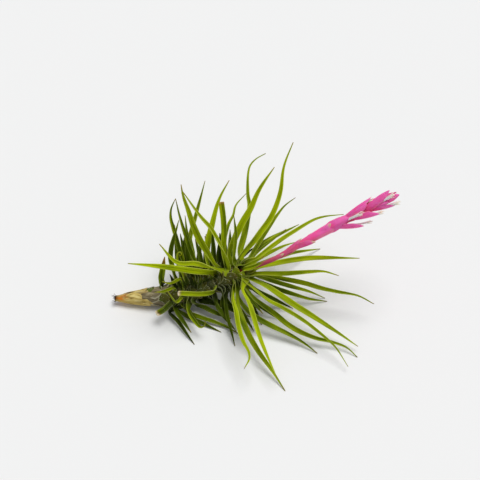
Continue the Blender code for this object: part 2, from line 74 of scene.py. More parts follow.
# The crown is where the flower spike leaves the leaves. The leaves' places are measured from it
# in the plane that faces a viewer looking down at VIEW_TILT: right, up, and forward.
CROWN = np.array([-7.6, -2.8, 24.0])
VIEW_TILT = math.radians(50)
RIGHT = np.array([1.0, 0.0, 0.0])
UP = np.array([0.0, math.sin(VIEW_TILT), math.cos(VIEW_TILT)])
FORWARD = np.array([0.0, -math.cos(VIEW_TILT), math.sin(VIEW_TILT)])
LIGHT = np.array([0.0, -0.5, 0.87])  # blades turn their channels to it
FLOOR_LIFT = 0.2  # of a blade's keel line, where the blade lies on the table


class Tip(Enum):
    """How a leaf ends."""

    THREAD = "a fine dry thread"
    WITHERED = "broad, pointed and brown"
    CURLED = "short, yellow and curled"
    CUT_DRY = "a straight cut, dried orange"
    CUT_FRESH = "a straight cut, still pale"


@dataclass(frozen=True)
class Leaf:
    """One leaf: its seat along X from the crown, how far its tip comes forward from the crown
    (None where the tip lies on the table), the (right, up) points that it runs through, its
    width half way along, how it ends, how bright a green it is from 0 to 1, and the power by
    which it narrows, which is larger on a leaf that ends in a long whip. The lowest tones are
    a painted shade, dark green on leaves that stand in the rosette's shaded middle or low under it."""

    seat: float
    forward: float | None
    run: list[tuple[float, float]]
    width: float = 3.0
    tip: Tip = Tip.THREAD
    tone: float = 0.5
    taper: float = 1.0


@dataclass(frozen=True)
class Bract:
    """One bract or flower: its seat along the spike, its turn round the spike in degrees from
    the viewer's side, its length, how far its tip stands off the spike's line, and its width."""

    seat: float
    turn: float
    length: float
    spread: float
    width: float = 6.6


LEAVES = [
    # Old leaves round the foot of the shoot, short, some trimmed or curled.
    Leaf(-44, -5, [(-38.6, -1.5), (-36.9, 7.5)], 3.6, Tip.WITHERED, 0.5),
    Leaf(-36, 2, [(-34, 9), (-29.5, 26)], 2.8, tone=0.35),
    Leaf(-40, -4, [(-34, -15.5), (-37, -19), (-41, -21.5)], 3.6, Tip.CUT_FRESH, 0.4),
    Leaf(-36, None, [(-35, -20.5), (-30.2, -25.1), (-26.3, -30.3), (-21.8, -36.3)], 2.2, tone=0.1),
    Leaf(-36, 2, [(-29, -12.5), (-31, -15.5), (-35.5, -9)], 1.8, Tip.CURLED, 0.7),
    Leaf(-37, 3, [(-32, -8), (-38, -10), (-41.5, -10)], 1.8, Tip.CURLED, 0.8),
    Leaf(-32, 8, [(-29, -3.5), (-34, -5.5), (-37.5, -4.5)], 1.8, Tip.CURLED, 0.8),
    Leaf(-34, None, [(-32, -18.6), (-24.2, -23.4), (-16.5, -26.7), (-8.4, -30.5)], 2.4, tone=0.2),
    Leaf(
        -30,
        4,
        [(-26, -15.5), (-24.8, -20.4), (-21.7, -24.8), (-18.8, -27.6), (-16.8, -27), (-16.2, -24.4)],
        2.2,
        Tip.CURLED,
        0.4,
    ),
    Leaf(
        -30,
        None,
        [(-28, -16), (-25.8, -19.6), (-19.6, -22.9), (-12.7, -25.2), (-5.7, -27.8), (0, -31)],
        2.4,
        tone=0.3,
    ),
    Leaf(-30, 2, [(-30.5, 6), (-30, 9.6), (-28.6, 10), (-28.3, 8.5), (-29.3, 8.2)], 1.3, Tip.CURLED, 0.9),
    Leaf(-25, -8, [(-22, -15), (-16.5, -18.4), (-10.4, -21.4), (-3.4, -23.8)], 2.6, tone=0.3),
    # Leaves that stand up and back, from left to right.
    Leaf(-30, -8, [(-30.4, 13.6), (-32.8, 22), (-34.1, 27.4), (-33.8, 32), (-31.6, 37)], 2.6, tone=0.45),
    Leaf(-22, 5, [(-24.5, 12.5), (-29, 27.5), (-31, 36.5)], 2.4, tone=0.45, taper=1.2),
    Leaf(-24, -12, [(-24, 11), (-26, 20), (-27, 28.5)], 2.4, tone=0.4),
    Leaf(
        -12,
        20,
        [(-14.7, 7.5), (-19.1, 15.9), (-22.2, 23.4), (-24.5, 30.7), (-26.9, 38), (-27.6, 42.9)],
        4.0,
        tone=0.75,
    ),
    Leaf(
        -3,
        26,
        [(-3.5, -1), (-5.6, 4.5), (-7.2, 9), (-10.8, 16.6), (-14.4, 22.5), (-18.8, 27.7), (-26.6, 39.4)],
        3.1,
        tone=0.75,
    ),
    Leaf(-26, -20, [(-25, 13.5), (-21.5, 29), (-17, 46.5)], 2.8, tone=0.5),
    Leaf(-18, -14, [(-16.5, 8.5), (-13.5, 22.5), (-9.5, 37), (-4.5, 46.5)], 3.6, tone=0.65, taper=1.2),
    Leaf(-9, 2, [(-7.4, 10), (-7, 18), (-7.2, 25.7), (-7.8, 31), (-8.3, 35)], 3.3, Tip.CUT_DRY, 0.65),
    Leaf(
        -8,
        -25,
        [(-7.6, 12), (-5.8, 20.6), (-4.7, 24.4), (-2.5, 28.7), (-1.2, 33.7), (4.1, 40.1)],
        2.0,
        tone=0.55,
    ),
    Leaf(-3, 10, [(-2.6, 4.5), (-1.9, 10.5), (-1.1, 16.6), (-1.3, 22), (-2.1, 28.5)], 2.0, tone=0.6),
    Leaf(
        -2,
        -22,
        [(0.4, 10.5), (2.7, 18.1), (4.6, 25.8), (5.8, 33.6), (5, 39.1), (5.8, 53.2)]
        + [(8.6, 57.2), (14.2, 60.7)],
        4.2,
        tone=0.6,
        taper=2.8,
    ),
    Leaf(-6, 8, [(-5.2, 9.3), (1.6, 23.5), (6.4, 31.7), (10.8, 41.3), (18, 52)], 3.9, tone=0.7),
    Leaf(
        -3,
        -5,
        [(1, 7.6), (9.3, 17.7), (16.7, 27.7), (21.2, 39.6), (23.1, 52.9), (27.8, 65.2)],
        3.5,
        tone=0.7,
        taper=1.35,
    ),
    Leaf(-2, -32, [(13.5, 19), (23.7, 33.2), (30, 38.2)], 2.6, tone=0.6, taper=1.2),
    # Leaves that close round the spike and reach to the right.
    Leaf(-1, -35, [(10, 12.2), (32, 24.2)], 2.8, tone=0.6),
    Leaf(-2, -28, [(9, 9.8), (25, 21.7)], 2.8, tone=0.6),
    Leaf(0, -22, [(18.5, 13.9), (29.5, 21), (41, 27.2), (54.6, 29.3)], 2.4, tone=0.7, taper=1.15),
    Leaf(-1, -30, [(12, 7.3), (23.5, 12.8), (30, 14.9)], 2.4, tone=0.6),
    Leaf(-1, None, [(12, 4), (26.5, 8.8), (43.5, 11.4)], 2.6, tone=0.6),
    Leaf(-1, -8, [(19.5, 4.4), (35.5, 6.8), (61.5, 6.8)], 3.0, tone=0.75),
    Leaf(-2, 6, [(11.5, -0.9), (22.1, -0.8), (35.8, 0.2), (43.1, 0.3), (50, -1.7)], 2.6, tone=0.6),
    Leaf(
        -3,
        -2,
        [(11, -1.4), (22.3, -3.6), (32.9, -5.6), (41.4, -8.1), (48.9, -9.8), (60.6, -12.1), (68.2, -16.1)],
        2.8,
        tone=0.6,
    ),
    Leaf(-2, None, [(14, -3.8), (27.9, -7.9), (36.7, -10.5), (44.7, -13.9)], 2.6, tone=0.5),
    Leaf(-4, None, [(12, -6), (20.3, -9.1), (27.9, -11.5), (36.7, -14.2), (45.7, -15.5)], 2.8, tone=0.5),
    Leaf(
        -3,
        4,
        [(7, -4), (14.8, -7.8), (22.2, -12.5), (29.6, -17.3), (38, -22.5), (48.5, -29.3), (59.6, -36.9)],
        3.3,
        tone=0.65,
    ),
    Leaf(
        -5,
        None,
        [(7.4, -13.1), (17, -20.1), (27.5, -28), (38.1, -32.7), (46.5, -34.7), (53.8, -37.3), (59.3, -42.2)],
        3.0,
        tone=0.55,
    ),
    Leaf(
        -4,
        12,
        [(6, -7), (14.8, -14.1), (22.1, -17.7), (32.5, -23.9), (42.9, -32), (48, -36.7), (54.1, -46.2)],
        2.2,
        tone=0.6,
    ),
    Leaf(
        -7,
        None,
        [(0.5, -14.5), (7.4, -21.7), (16.9, -27), (24.4, -30.6), (32.8, -35.3), (39.5, -40.4)],
        3.0,
        tone=0.45,
    ),
    # Leaves that come forward over the front.
    Leaf(-6, None, [(-0.5, -16.5), (4.2, -28.7), (9.4, -37.9), (16.6, -47.9), (23, -57.5)], 3.2, tone=0.65),
    Leaf(
        -2,
        22,
        [(1.9, -8.6), (5.65, -16), (7.9, -22.6), (10.1, -29.9), (12.6, -36.5), (18.9, -50.8)],
        2.6,
        tone=0.75,
    ),
    Leaf(
        -6,
        26,
        [(-2.6, -7.8), (-2.9, -13.6), (-1.1, -19.5), (0.4, -26.7), (2.8, -34), (5.3, -38.5)]
        + [(5.5, -41.5), (3, -45.8)],
        2.8,
        tone=0.8,
    ),
    Leaf(-14, None, [(-6.6, -15.2), (-5.4, -22), (-3.8, -28), (-1.5, -37)], 2.2, tone=0.15),
    Leaf(-16, 12, [(-13, -3), (-12, -9), (-16, -10.5), (-29.5, -10)], 2.8, Tip.CUT_FRESH, 0.6),
    Leaf(-5, 22, [(-6.5, 1), (-21, 4.7), (-30, 5.3), (-38, 14)], 3.0, tone=0.95),
    Leaf(-14, 24, [(-10.5, -1), (-23.5, 0.8), (-38, 3), (-53, 4.7)], 3.4, tone=0.95),
    # Ones that lie low under them, coloured dark green as painted shade.
    Leaf(-26, -8, [(-20.3, -14.9), (-12.7, -15.9), (-6.4, -18.5)], 2.6, tone=0.05),
    Leaf(-22, -6, [(-16.5, -12.3), (-7.3, -16.7), (0.4, -20.9), (6.5, -22.9)], 2.8, tone=0.1),
    Leaf(-5, None, [(3, -10), (7, -17), (12, -27)], 3.0, tone=0.12),
    Leaf(-10, None, [(-3, -14), (3, -22), (8, -30)], 2.8, tone=0.08),
    Leaf(-12, None, [(-8, -15), (-5, -24), (-3, -31)], 2.6, tone=0.08),
    Leaf(-6, None, [(4, -12), (12, -18), (20, -24)], 2.8, tone=0.1),
    Leaf(-4, -14, [(8, -9), (18, -14), (28, -19)], 2.8, tone=0.15),
    # Young ones that stand in front of the scape's foot.
    Leaf(-1, 9, [(3, 0.9), (7.5, 2.6), (12.5, 5)], 2.6, tone=0.6),
    Leaf(-1, 8, [(3, 3), (8, 5), (13, 8)], 2.0, tone=0.6),
]

SPIKE_BRACTS = [
    Bract(46.5, 0, 16.7, 3.8, 8.2),
    Bract(49, 190, 15, 3.6),
    Bract(53, 80, 14.7, 6.9, 8.2),
    Bract(57, -75, 20, 4.3, 6.4),
    Bract(58, 165, 16, 4.6),
    Bract(60.5, 55, 17, 5.8, 7.4),
    Bract(58.5, -35, 15.5, 3.6),
    Bract(62, -125, 15, 4.0),
    Bract(69, -45, 18, 4.9, 7.4),
    Bract(68, 175, 15, 4.4),
    Bract(70, 75, 15.6, 4.5, 6.2),
    Bract(71, 30, 13, 3.2, 5.6),
    Bract(74, -160, 14.6, 3.2),
    Bract(75, 12, 15.2, 2.8, 6.0),
]

FLOWERS = [
    Bract(55.5, 12, 14.7, 3.6),
    Bract(57, 88, 14.6, 6.3, 4.0),
    Bract(61, -85, 16.4, 3.2),
    Bract(63.5, 68, 15.7, 4.9),
    Bract(71.5, -8, 16.8, 3.4),
    Bract(70, -172, 16, 4.6),
    Bract(74.5, 75, 13.8, 4.0),
]


def linear(colour: str) -> tuple[float, float, float, float]:
    """Turns an sRGB hex colour to Blender's linear one.

    Args:
        colour: six hex digits, with or without a leading #.

    Returns:
        Red, green, blue and alpha, each from 0 to 1.
    """
    digits = colour.lstrip("#")
    shares = [int(digits[k : k + 2], 16) / 255 for k in (0, 2, 4)]
    lit = [s / 12.92 if s <= 0.04045 else ((s + 0.055) / 1.055) ** 2.4 for s in shares]
    return (*lit, 1.0)


def shown_socket(sockets: bpy.types.bpy_prop_collection, key: int | str) -> bpy.types.NodeSocket:
    """Finds a node's socket by its index, or the first shown one of a name."""
    if isinstance(key, int):
        return sockets[key]
    return next(s for s in sockets if s.enabled and s.name == key)


def feed(tree: bpy.types.NodeTree, node: bpy.types.Node, inputs: dict) -> None:
    """Sets or links a node's inputs.

    Args:
        tree: the node's tree.
        node: the node.
        inputs: a value, a node or a socket for each input, by index or name. A node stands for
            its first shown output.
    """
    for key, value in inputs.items():
        target = shown_socket(node.inputs, key)
        if isinstance(value, bpy.types.Node):
            value = next(s for s in value.outputs if s.enabled)
        if isinstance(value, bpy.types.NodeSocket):
            tree.links.new(value, target)
        else:
            target.default_value = value


def add(tree: bpy.types.NodeTree, kind: str, inputs: dict | None = None, **settings) -> bpy.types.Node:
    """Adds a node to a tree.

    Args:
        tree: the tree of a material or a modifier.
        kind: the node's type.
        inputs: what its inputs are fed with.
        **settings: the node's own properties.

    Returns:
        The new node.
    """
    node = tree.nodes.new(kind)
    for name, value in settings.items():
        setattr(node, name, value)
    feed(tree, node, inputs or {})
    return node


def modifier_tree(name: str, inputs: dict[str, str]) -> tuple[bpy.types.NodeTree, bpy.types.NodeOutputs]:
    """Starts a modifier's tree, which gives back a mesh.

    Args:
        name: the tree's name.
        inputs: the kind of each input by its name, the geometry first.

    Returns:
        The tree, and its inputs as sockets to link from.
    """
    tree = bpy.data.node_groups.new(name, "GeometryNodeTree")
    tree.is_modifier = True
    for label, kind in inputs.items():
        tree.interface.new_socket(label, in_out="INPUT", socket_type=f"NodeSocket{kind}")
    tree.interface.new_socket("Mesh", in_out="OUTPUT", socket_type="NodeSocketGeometry")
    return tree, add(tree, "NodeGroupInput").outputs


def unit(vector: np.ndarray) -> np.ndarray:
    """The vector at length 1."""
    return vector / np.linalg.norm(vector)


def run_along(line: np.ndarray) -> np.ndarray:
    """The distance from the start of a line to each of its points."""
    return np.concatenate([[0], np.cumsum(np.linalg.norm(np.diff(line, axis=0), axis=1))])


def directions(line: np.ndarray) -> np.ndarray:
    """The unit tangent at each point of a line."""
    tangents = np.gradient(line, axis=0)
    return tangents / np.linalg.norm(tangents, axis=1)[:, None]


def smooth_line(points: list[np.ndarray], count: int) -> np.ndarray:
    """Runs a centripetal Catmull-Rom curve through points.

    Args:
        points: what the curve runs through.
        count: how many points to return.

    Returns:
        Evenly spaced points on the curve.
    """
    knots = [2 * points[0] - points[1], *points, 2 * points[-1] - points[-2]]
    dense = []
    for a, b, c, d in zip(knots, knots[1:], knots[2:], knots[3:]):
        t1 = math.sqrt(np.linalg.norm(b - a))
        t2 = t1 + math.sqrt(np.linalg.norm(c - b))
        t3 = t2 + math.sqrt(np.linalg.norm(d - c))
        for t in np.linspace(t1, t2, 12, endpoint=False):
            ab = a + (b - a) * t / t1
            bc = b + (c - b) * (t - t1) / (t2 - t1)
            cd = c + (d - c) * (t - t2) / (t3 - t2)
            abc = ab + (bc - ab) * t / t2
            bcd = bc + (cd - bc) * (t - t1) / (t3 - t1)
            dense.append(abc + (bcd - abc) * (t - t1) / (t2 - t1))
    dense = np.array([*dense, points[-1]])
    run = run_along(dense)
    at = np.linspace(0, run[-1], count)
    return np.column_stack([np.interp(at, run, dense[:, k]) for k in range(3)])


def eased(share: np.ndarray | float) -> np.ndarray | float:
    """A share from 0 to 1, made to start and end softly."""
    share = np.clip(share, 0, 1)
    return share * share * (3 - 2 * share)


@dataclass
class Rail:
    """The line that one blade, sheath or tube is swept along, with its section at each point.

    The section is folded up along the line by open and curls on by curl towards its margins,
    both in radians. dry, scurf and pale are how withered, how grey with scales and how far
    bleached the skin is, each from 0 to 1."""

    line: np.ndarray
    up: np.ndarray
    half: np.ndarray
    open: np.ndarray | float = 0.0
    curl: np.ndarray | float = 0.05
    thick: np.ndarray | float = 0.6
    dry: np.ndarray | float = 0.0
    scurf: np.ndarray | float = 0.0
    pale: np.ndarray | float = 0.0
    ragged: np.ndarray | float = 0.0
    tone: float = 0.5

    def __len__(self) -> int:
        """The number of points."""
        return len(self.line)


def tube_rail(line: np.ndarray, radii: np.ndarray, **more) -> Rail:
    """A rail whose section is round, for stems and fibres."""
    ups, normal = [], np.array([0.0, 0.0, 1.0])
    for tangent in directions(line):
        if abs(normal @ tangent) > 0.99:
            normal = np.array([0.0, 1.0, 0.0])
        normal = unit(normal - (normal @ tangent) * tangent)
        ups.append(normal)
    return Rail(line, np.array(ups), radii, 0.0, 0.02, 2 * radii, **more)


@dataclass(frozen=True)
class Sweep:
    """The Geometry Nodes tree that sweeps a folded section along rails, and its settings.

    Lengths are millimetres. around is the number of points round the section, keel how round
    its fold is, ruffle how far its margins wave, relief how rough its skin is and ribs how many
    lengthwise ribs it has, rib high."""

    around: int = 24
    keel: float = 0.1
    ruffle: float = 0.0
    relief: float = 0.0
    relief_across: float = 3.0
    relief_along: float = 0.15
    ribs: float = 0.0
    rib: float = 0.0

    def tree(self) -> bpy.types.GeometryNodeTree:
        """Builds the tree once, and returns it."""
        name = "folded_section_sweep"
        if name in bpy.data.node_groups:
            return bpy.data.node_groups[name]
        sizes = ("Keel", "Ruffle", "Relief", "Relief Across", "Relief Along", "Ribs", "Rib")
        inputs = {"Rails": "Geometry", "Around": "Int", **dict.fromkeys(sizes, "Float"), "Skin": "Material"}
        tree, given = modifier_tree(name, inputs)

        rails = add(tree, "GeometryNodeMeshToCurve", {"Mesh": given["Rails"]})
        circle = add(tree, "GeometryNodeCurvePrimitiveCircle", {"Resolution": given["Around"], "Radius": 1.0})
        section = add(
            tree,
            "GeometryNodeStoreNamedAttribute",
            {"Geometry": circle, "Name": "section", "Value": add(tree, "GeometryNodeInputPosition")},
            data_type="FLOAT_VECTOR",
        )
        tube = add(
            tree,
            "GeometryNodeCurveToMesh",
            {"Curve": rails, "Profile Curve": section, "Scale": MM, "Fill Caps": True},
        )

        numbers = {
            name: add(tree, NAMED, {"Name": name}, data_type="FLOAT")
            for name in ("half", "open", "curl", "thick", "run", "tone", "ragged")
        }
        vectors = {
            name: add(tree, NAMED, {"Name": name}, data_type="FLOAT_VECTOR")
            for name in ("keel_place", "blade_up", "blade_side", "blade_ahead", "section")
        }
        part = add(tree, "ShaderNodeSeparateXYZ", {0: vectors["section"]}).outputs
        side = add(tree, MATH, {0: part["X"]}, operation="SIGN")
        size = add(tree, MATH, {0: part["X"]}, operation="ABSOLUTE")

        # How far out the point is, from 0 at the rounded keel to 1 at the margin.
        above = add(tree, MATH, {0: given["Keel"], 1: 1.0}, operation="ADD")
        below = add(tree, MATH, {0: given["Keel"], 1: size}, operation="ADD")
        squared = add(tree, MATH, {0: size, 1: size}, operation="MULTIPLY")
        ratio = add(tree, MATH, {0: above, 1: below}, operation="DIVIDE")
        out = add(tree, MATH, {0: squared, 1: ratio}, operation="MULTIPLY")

        # The curled half of the section, and the way its skin faces there.
        bend = add(tree, MATH, {0: numbers["curl"], 1: out}, operation="MULTIPLY")
        angle = add(tree, MATH, {0: bend, 1: numbers["open"]}, operation="ADD")
        sines = [add(tree, MATH, {0: a}, operation="SINE") for a in (angle, numbers["open"])]
        cosines = [add(tree, MATH, {0: a}, operation="COSINE") for a in (angle, numbers["open"])]
        reach = add(tree, MATH, {0: sines[0], 1: sines[1]}, operation="SUBTRACT")
        rise = add(tree, MATH, {0: cosines[1], 1: cosines[0]}, operation="SUBTRACT")
        scale = add(tree, MATH, {0: numbers["half"], 1: numbers["curl"]}, operation="DIVIDE")
        scaled_side = add(tree, MATH, {0: scale, 1: side}, operation="MULTIPLY")
        lens = add(tree, MATH, {0: part["Y"], 1: numbers["thick"]}, operation="MULTIPLY")
        lens = add(tree, MATH, {0: lens, 1: 0.5}, operation="MULTIPLY")
        tilt = add(tree, MATH, {0: sines[0], 1: side}, operation="MULTIPLY")
        tilted = add(tree, MATH, {0: tilt, 1: -1.0}, operation="MULTIPLY")
        flat = add(tree, VECTOR, {0: vectors["blade_side"], "Scale": tilted}, operation="SCALE")
        steep = add(tree, VECTOR, {0: vectors["blade_up"], "Scale": cosines[0]}, operation="SCALE")
        facing = add(tree, VECTOR, {0: flat, 1: steep}, operation="ADD")

        # The margins wave by a noise that runs along the blade.
        place = add(tree, "ShaderNodeCombineXYZ", {"X": numbers["run"], "Y": side, "Z": numbers["tone"]})
        spread = add(tree, VECTOR, {0: place, 1: (0.12, 3.0, 71.0)}, operation="MULTIPLY")
        wave = add(tree, "ShaderNodeTexNoise", {"Vector": spread, "Scale": 1.0, "Detail": 1.0})
        wave = add(tree, MATH, {0: wave, 1: 0.5}, operation="SUBTRACT")
        wave = add(tree, MATH, {0: wave, 1: squared}, operation="MULTIPLY")
        wave = add(tree, MATH, {0: wave, 1: given["Ruffle"]}, operation="MULTIPLY")
        lifted = add(tree, MATH, {0: wave, 1: lens}, operation="ADD")

        # Torn ends reach on by a noise that runs across the blade.
        torn = add(tree, "ShaderNodeCombineXYZ", {"X": part["X"], "Y": numbers["tone"]})
        torn = add(tree, VECTOR, {0: torn, 1: (4.0, 53.0, 0.0)}, operation="MULTIPLY")
        torn = add(tree, "ShaderNodeTexNoise", {"Vector": torn, "Scale": 1.0, "Detail": 3.0})
        torn = add(tree, MATH, {0: torn, 1: 0.5}, operation="SUBTRACT")
        torn = add(tree, MATH, {0: torn, 1: numbers["ragged"]}, operation="MULTIPLY")

        across = add(tree, MATH, {0: scaled_side, 1: reach}, operation="MULTIPLY")
        upward = add(tree, MATH, {0: scale, 1: rise}, operation="MULTIPLY")
        spot = vectors["keel_place"]
        for way, far in (
            (vectors["blade_side"], across),
            (vectors["blade_up"], upward),
            (facing, lifted),
            (vectors["blade_ahead"], torn),
        ):
            step = add(tree, VECTOR, {0: way, "Scale": far}, operation="SCALE")
            spot = add(tree, VECTOR, {0: spot, 1: step}, operation="ADD")
        placed = add(tree, "GeometryNodeSetPosition", {"Geometry": tube, "Position": spot})
        carved = self.carved(tree, placed, given, part, numbers)
        smooth = {"Geometry": self.laid(tree, carved), "Shade Smooth": True}
        smooth = add(tree, "GeometryNodeSetShadeSmooth", smooth)
        single = add(tree, "GeometryNodeRealizeInstances", {"Geometry": smooth})
        skinned = add(tree, "GeometryNodeSetMaterial", {"Geometry": single, "Material": given["Skin"]})
        add(tree, "NodeGroupOutput", {0: skinned})
        return tree

    @staticmethod
    def carved(
        tree: bpy.types.NodeTree,
        placed: bpy.types.Node,
        given: bpy.types.NodeOutputs,
        part: bpy.types.NodeOutputs,
        numbers: dict[str, bpy.types.Node],
    ) -> bpy.types.Node:
        """Sets relief along the skin's own normal: a stretched noise, and lengthwise ribs.

        Args:
            tree: the tree.
            placed: the smooth skin in its place.
            given: the tree's inputs.
            part: the point's place round the section.
            numbers: the rail's numbers at the point.

        Returns:
            The skin with its relief.
        """
        grain = add(tree, "ShaderNodeCombineXYZ", {"X": part["X"], "Y": part["Y"], "Z": numbers["run"]})
        stretch = add(
            tree,
            "ShaderNodeCombineXYZ",
            {"X": given["Relief Across"], "Y": given["Relief Across"], "Z": given["Relief Along"]},
        )
        grain = add(tree, VECTOR, {0: grain, 1: stretch}, operation="MULTIPLY")
        apart = add(tree, MATH, {0: numbers["tone"], 1: 37.0}, operation="MULTIPLY")
        apart = add(tree, "ShaderNodeCombineXYZ", {"X": apart, "Y": apart})
        grain = add(tree, VECTOR, {0: grain, 1: apart}, operation="ADD")
        grain = add(tree, "ShaderNodeTexNoise", {"Vector": grain, "Scale": 1.0, "Detail": 4.0})
        grain = add(tree, MATH, {0: grain, 1: 0.5}, operation="SUBTRACT")
        grain = add(tree, MATH, {0: grain, 1: given["Relief"]}, operation="MULTIPLY")
        nerve = add(tree, MATH, {0: part["X"], 1: given["Ribs"]}, operation="MULTIPLY")
        nerve = add(tree, MATH, {0: nerve}, operation="COSINE")
        nerve = add(tree, MATH, {0: nerve, 1: given["Rib"]}, operation="MULTIPLY")
        high = add(tree, MATH, {0: grain, 1: nerve}, operation="ADD")
        high = add(tree, VECTOR, {0: add(tree, "GeometryNodeInputNormal"), "Scale": high}, operation="SCALE")
        return add(tree, "GeometryNodeSetPosition", {"Geometry": placed, "Offset": high})

    @staticmethod
    def laid(tree: bpy.types.NodeTree, carved: bpy.types.Node) -> bpy.types.Node:
        """Keeps the skin above the table."""
        here = add(tree, "ShaderNodeSeparateXYZ", {0: add(tree, "GeometryNodeInputPosition")}).outputs
        floor = add(tree, MATH, {0: here["Z"], 1: 0.0}, operation="MAXIMUM")
        floor = add(tree, "ShaderNodeCombineXYZ", {"X": here["X"], "Y": here["Y"], "Z": floor})
        return add(tree, "GeometryNodeSetPosition", {"Geometry": carved, "Position": floor})

    def settings(self) -> dict[str, float]:
        """The tree's inputs by name, in metres where they are lengths."""
        return {
            "Around": self.around,
            "Keel": self.keel,
            "Ruffle": self.ruffle * MM,
            "Relief": self.relief * MM,
            "Relief Across": self.relief_across,
            "Relief Along": self.relief_along,
            "Ribs": self.ribs,
            "Rib": self.rib * MM,
        }


# What a rail's numbers are multiplied by on its mesh.
RAIL_SCALES = dict(half=MM, open=1, curl=1, thick=MM, ragged=MM, dry=1, scurf=1, pale=1, tone=1)


def rails_mesh(name: str, rails: list[Rail]) -> bpy.types.Object:
    """Makes an object of bare lines that hold each rail's section as point attributes.

    Args:
        name: the object's name.
        rails: the rails.

    Returns:
        The object, linked to the scene.
    """
    edges, start = [], 0
    for rail in rails:
        edges += [(start + k, start + k + 1) for k in range(len(rail) - 1)]
        start += len(rail)
    mesh = bpy.data.meshes.new(name)
    places = np.concatenate([rail.line for rail in rails]) * MM
    mesh.from_pydata(places.tolist(), edges, [])
    ahead = np.concatenate([directions(rail.line) for rail in rails])
    up = np.concatenate([rail.up for rail in rails])
    vectors = {
        "keel_place": places,
        "blade_up": up,
        "blade_side": np.cross(ahead, up),
        "blade_ahead": ahead,
    }
    numbers = {
        "run": np.concatenate([run_along(rail.line) for rail in rails]),
        "share": np.concatenate([np.linspace(0, 1, len(rail)) for rail in rails]),
    }
    for label, scale in RAIL_SCALES.items():
        values = [np.broadcast_to(getattr(rail, label), len(rail)) for rail in rails]
        numbers[label] = np.concatenate(values) * scale
    for label, value in vectors.items():
        mesh.attributes.new(label, "FLOAT_VECTOR", "POINT").data.foreach_set("vector", value.ravel())
    for label, value in numbers.items():
        mesh.attributes.new(label, "FLOAT", "POINT").data.foreach_set("value", value.ravel())
    made = bpy.data.objects.new(name, mesh)
    bpy.context.scene.collection.objects.link(made)
    return made


# The attributes that materials and faces read. The others go once a piece is swept.
KEPT_ATTRIBUTES = {"section", "run", "share", "dry", "scurf", "pale", "tone", "sharp_face", "material_index"}


def grown(made: bpy.types.Object, tree: bpy.types.GeometryNodeTree, settings: dict) -> bpy.types.Object:
    """Runs a Geometry Nodes tree on an object and keeps the result as its plain mesh.

    Args:
        made: the object that holds what the tree starts from.
        tree: the tree.
        settings: the tree's inputs by name.

    Returns:
        The same object with the new mesh.
    """
    modifier = made.modifiers.new("grow", "NODES")
    modifier.node_group = tree
    for item in tree.interface.items_tree:
        if item.item_type == "SOCKET" and item.in_out == "INPUT" and item.name in settings:
            modifier[item.identifier] = settings[item.name]
    bpy.context.view_layer.update()
    graph = bpy.context.evaluated_depsgraph_get()
    mesh = bpy.data.meshes.new_from_object(made.evaluated_get(graph))
    made.modifiers.clear()
    made.data = mesh
    removable = [a.name for a in mesh.attributes if not a.is_internal and not a.is_required]
    for label in removable:
        if label not in KEPT_ATTRIBUTES:
            mesh.attributes.remove(mesh.attributes[label])
    return made


def swept(name: str, rails: list[Rail], sweep: Sweep, skin: bpy.types.Material) -> bpy.types.Object:
    """Sweeps rails into one mesh with one skin."""
    return grown(rails_mesh(name, rails), sweep.tree(), {**sweep.settings(), "Skin": skin})


def joined(name: str, pieces: list[bpy.types.Object]) -> bpy.types.Object:
    """Joins meshes into the first of them, and names it."""
    if len(pieces) > 1:
        with bpy.context.temp_override(
            active_object=pieces[0], selected_editable_objects=pieces, selected_objects=pieces
        ):
            bpy.ops.object.join()
    pieces[0].name = name
    pieces[0].data.name = name
    return pieces[0]


def mount(piece: bpy.types.Object, slot: str, *nodes: str) -> None:
    """Makes a piece ride on the plant in place of its solids, and reports it.

    Args:
        piece: the finished piece.
        slot: not used.
        *nodes: the solids that it stands for.
    """
    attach(piece, BODY)
    if nodes:
        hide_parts(*nodes)
    triangles = sum(len(face.vertices) - 2 for face in piece.data.polygons)
    LOG.info("%s: %d triangles, in place of %s", piece.name, triangles, ", ".join(nodes) or "none")


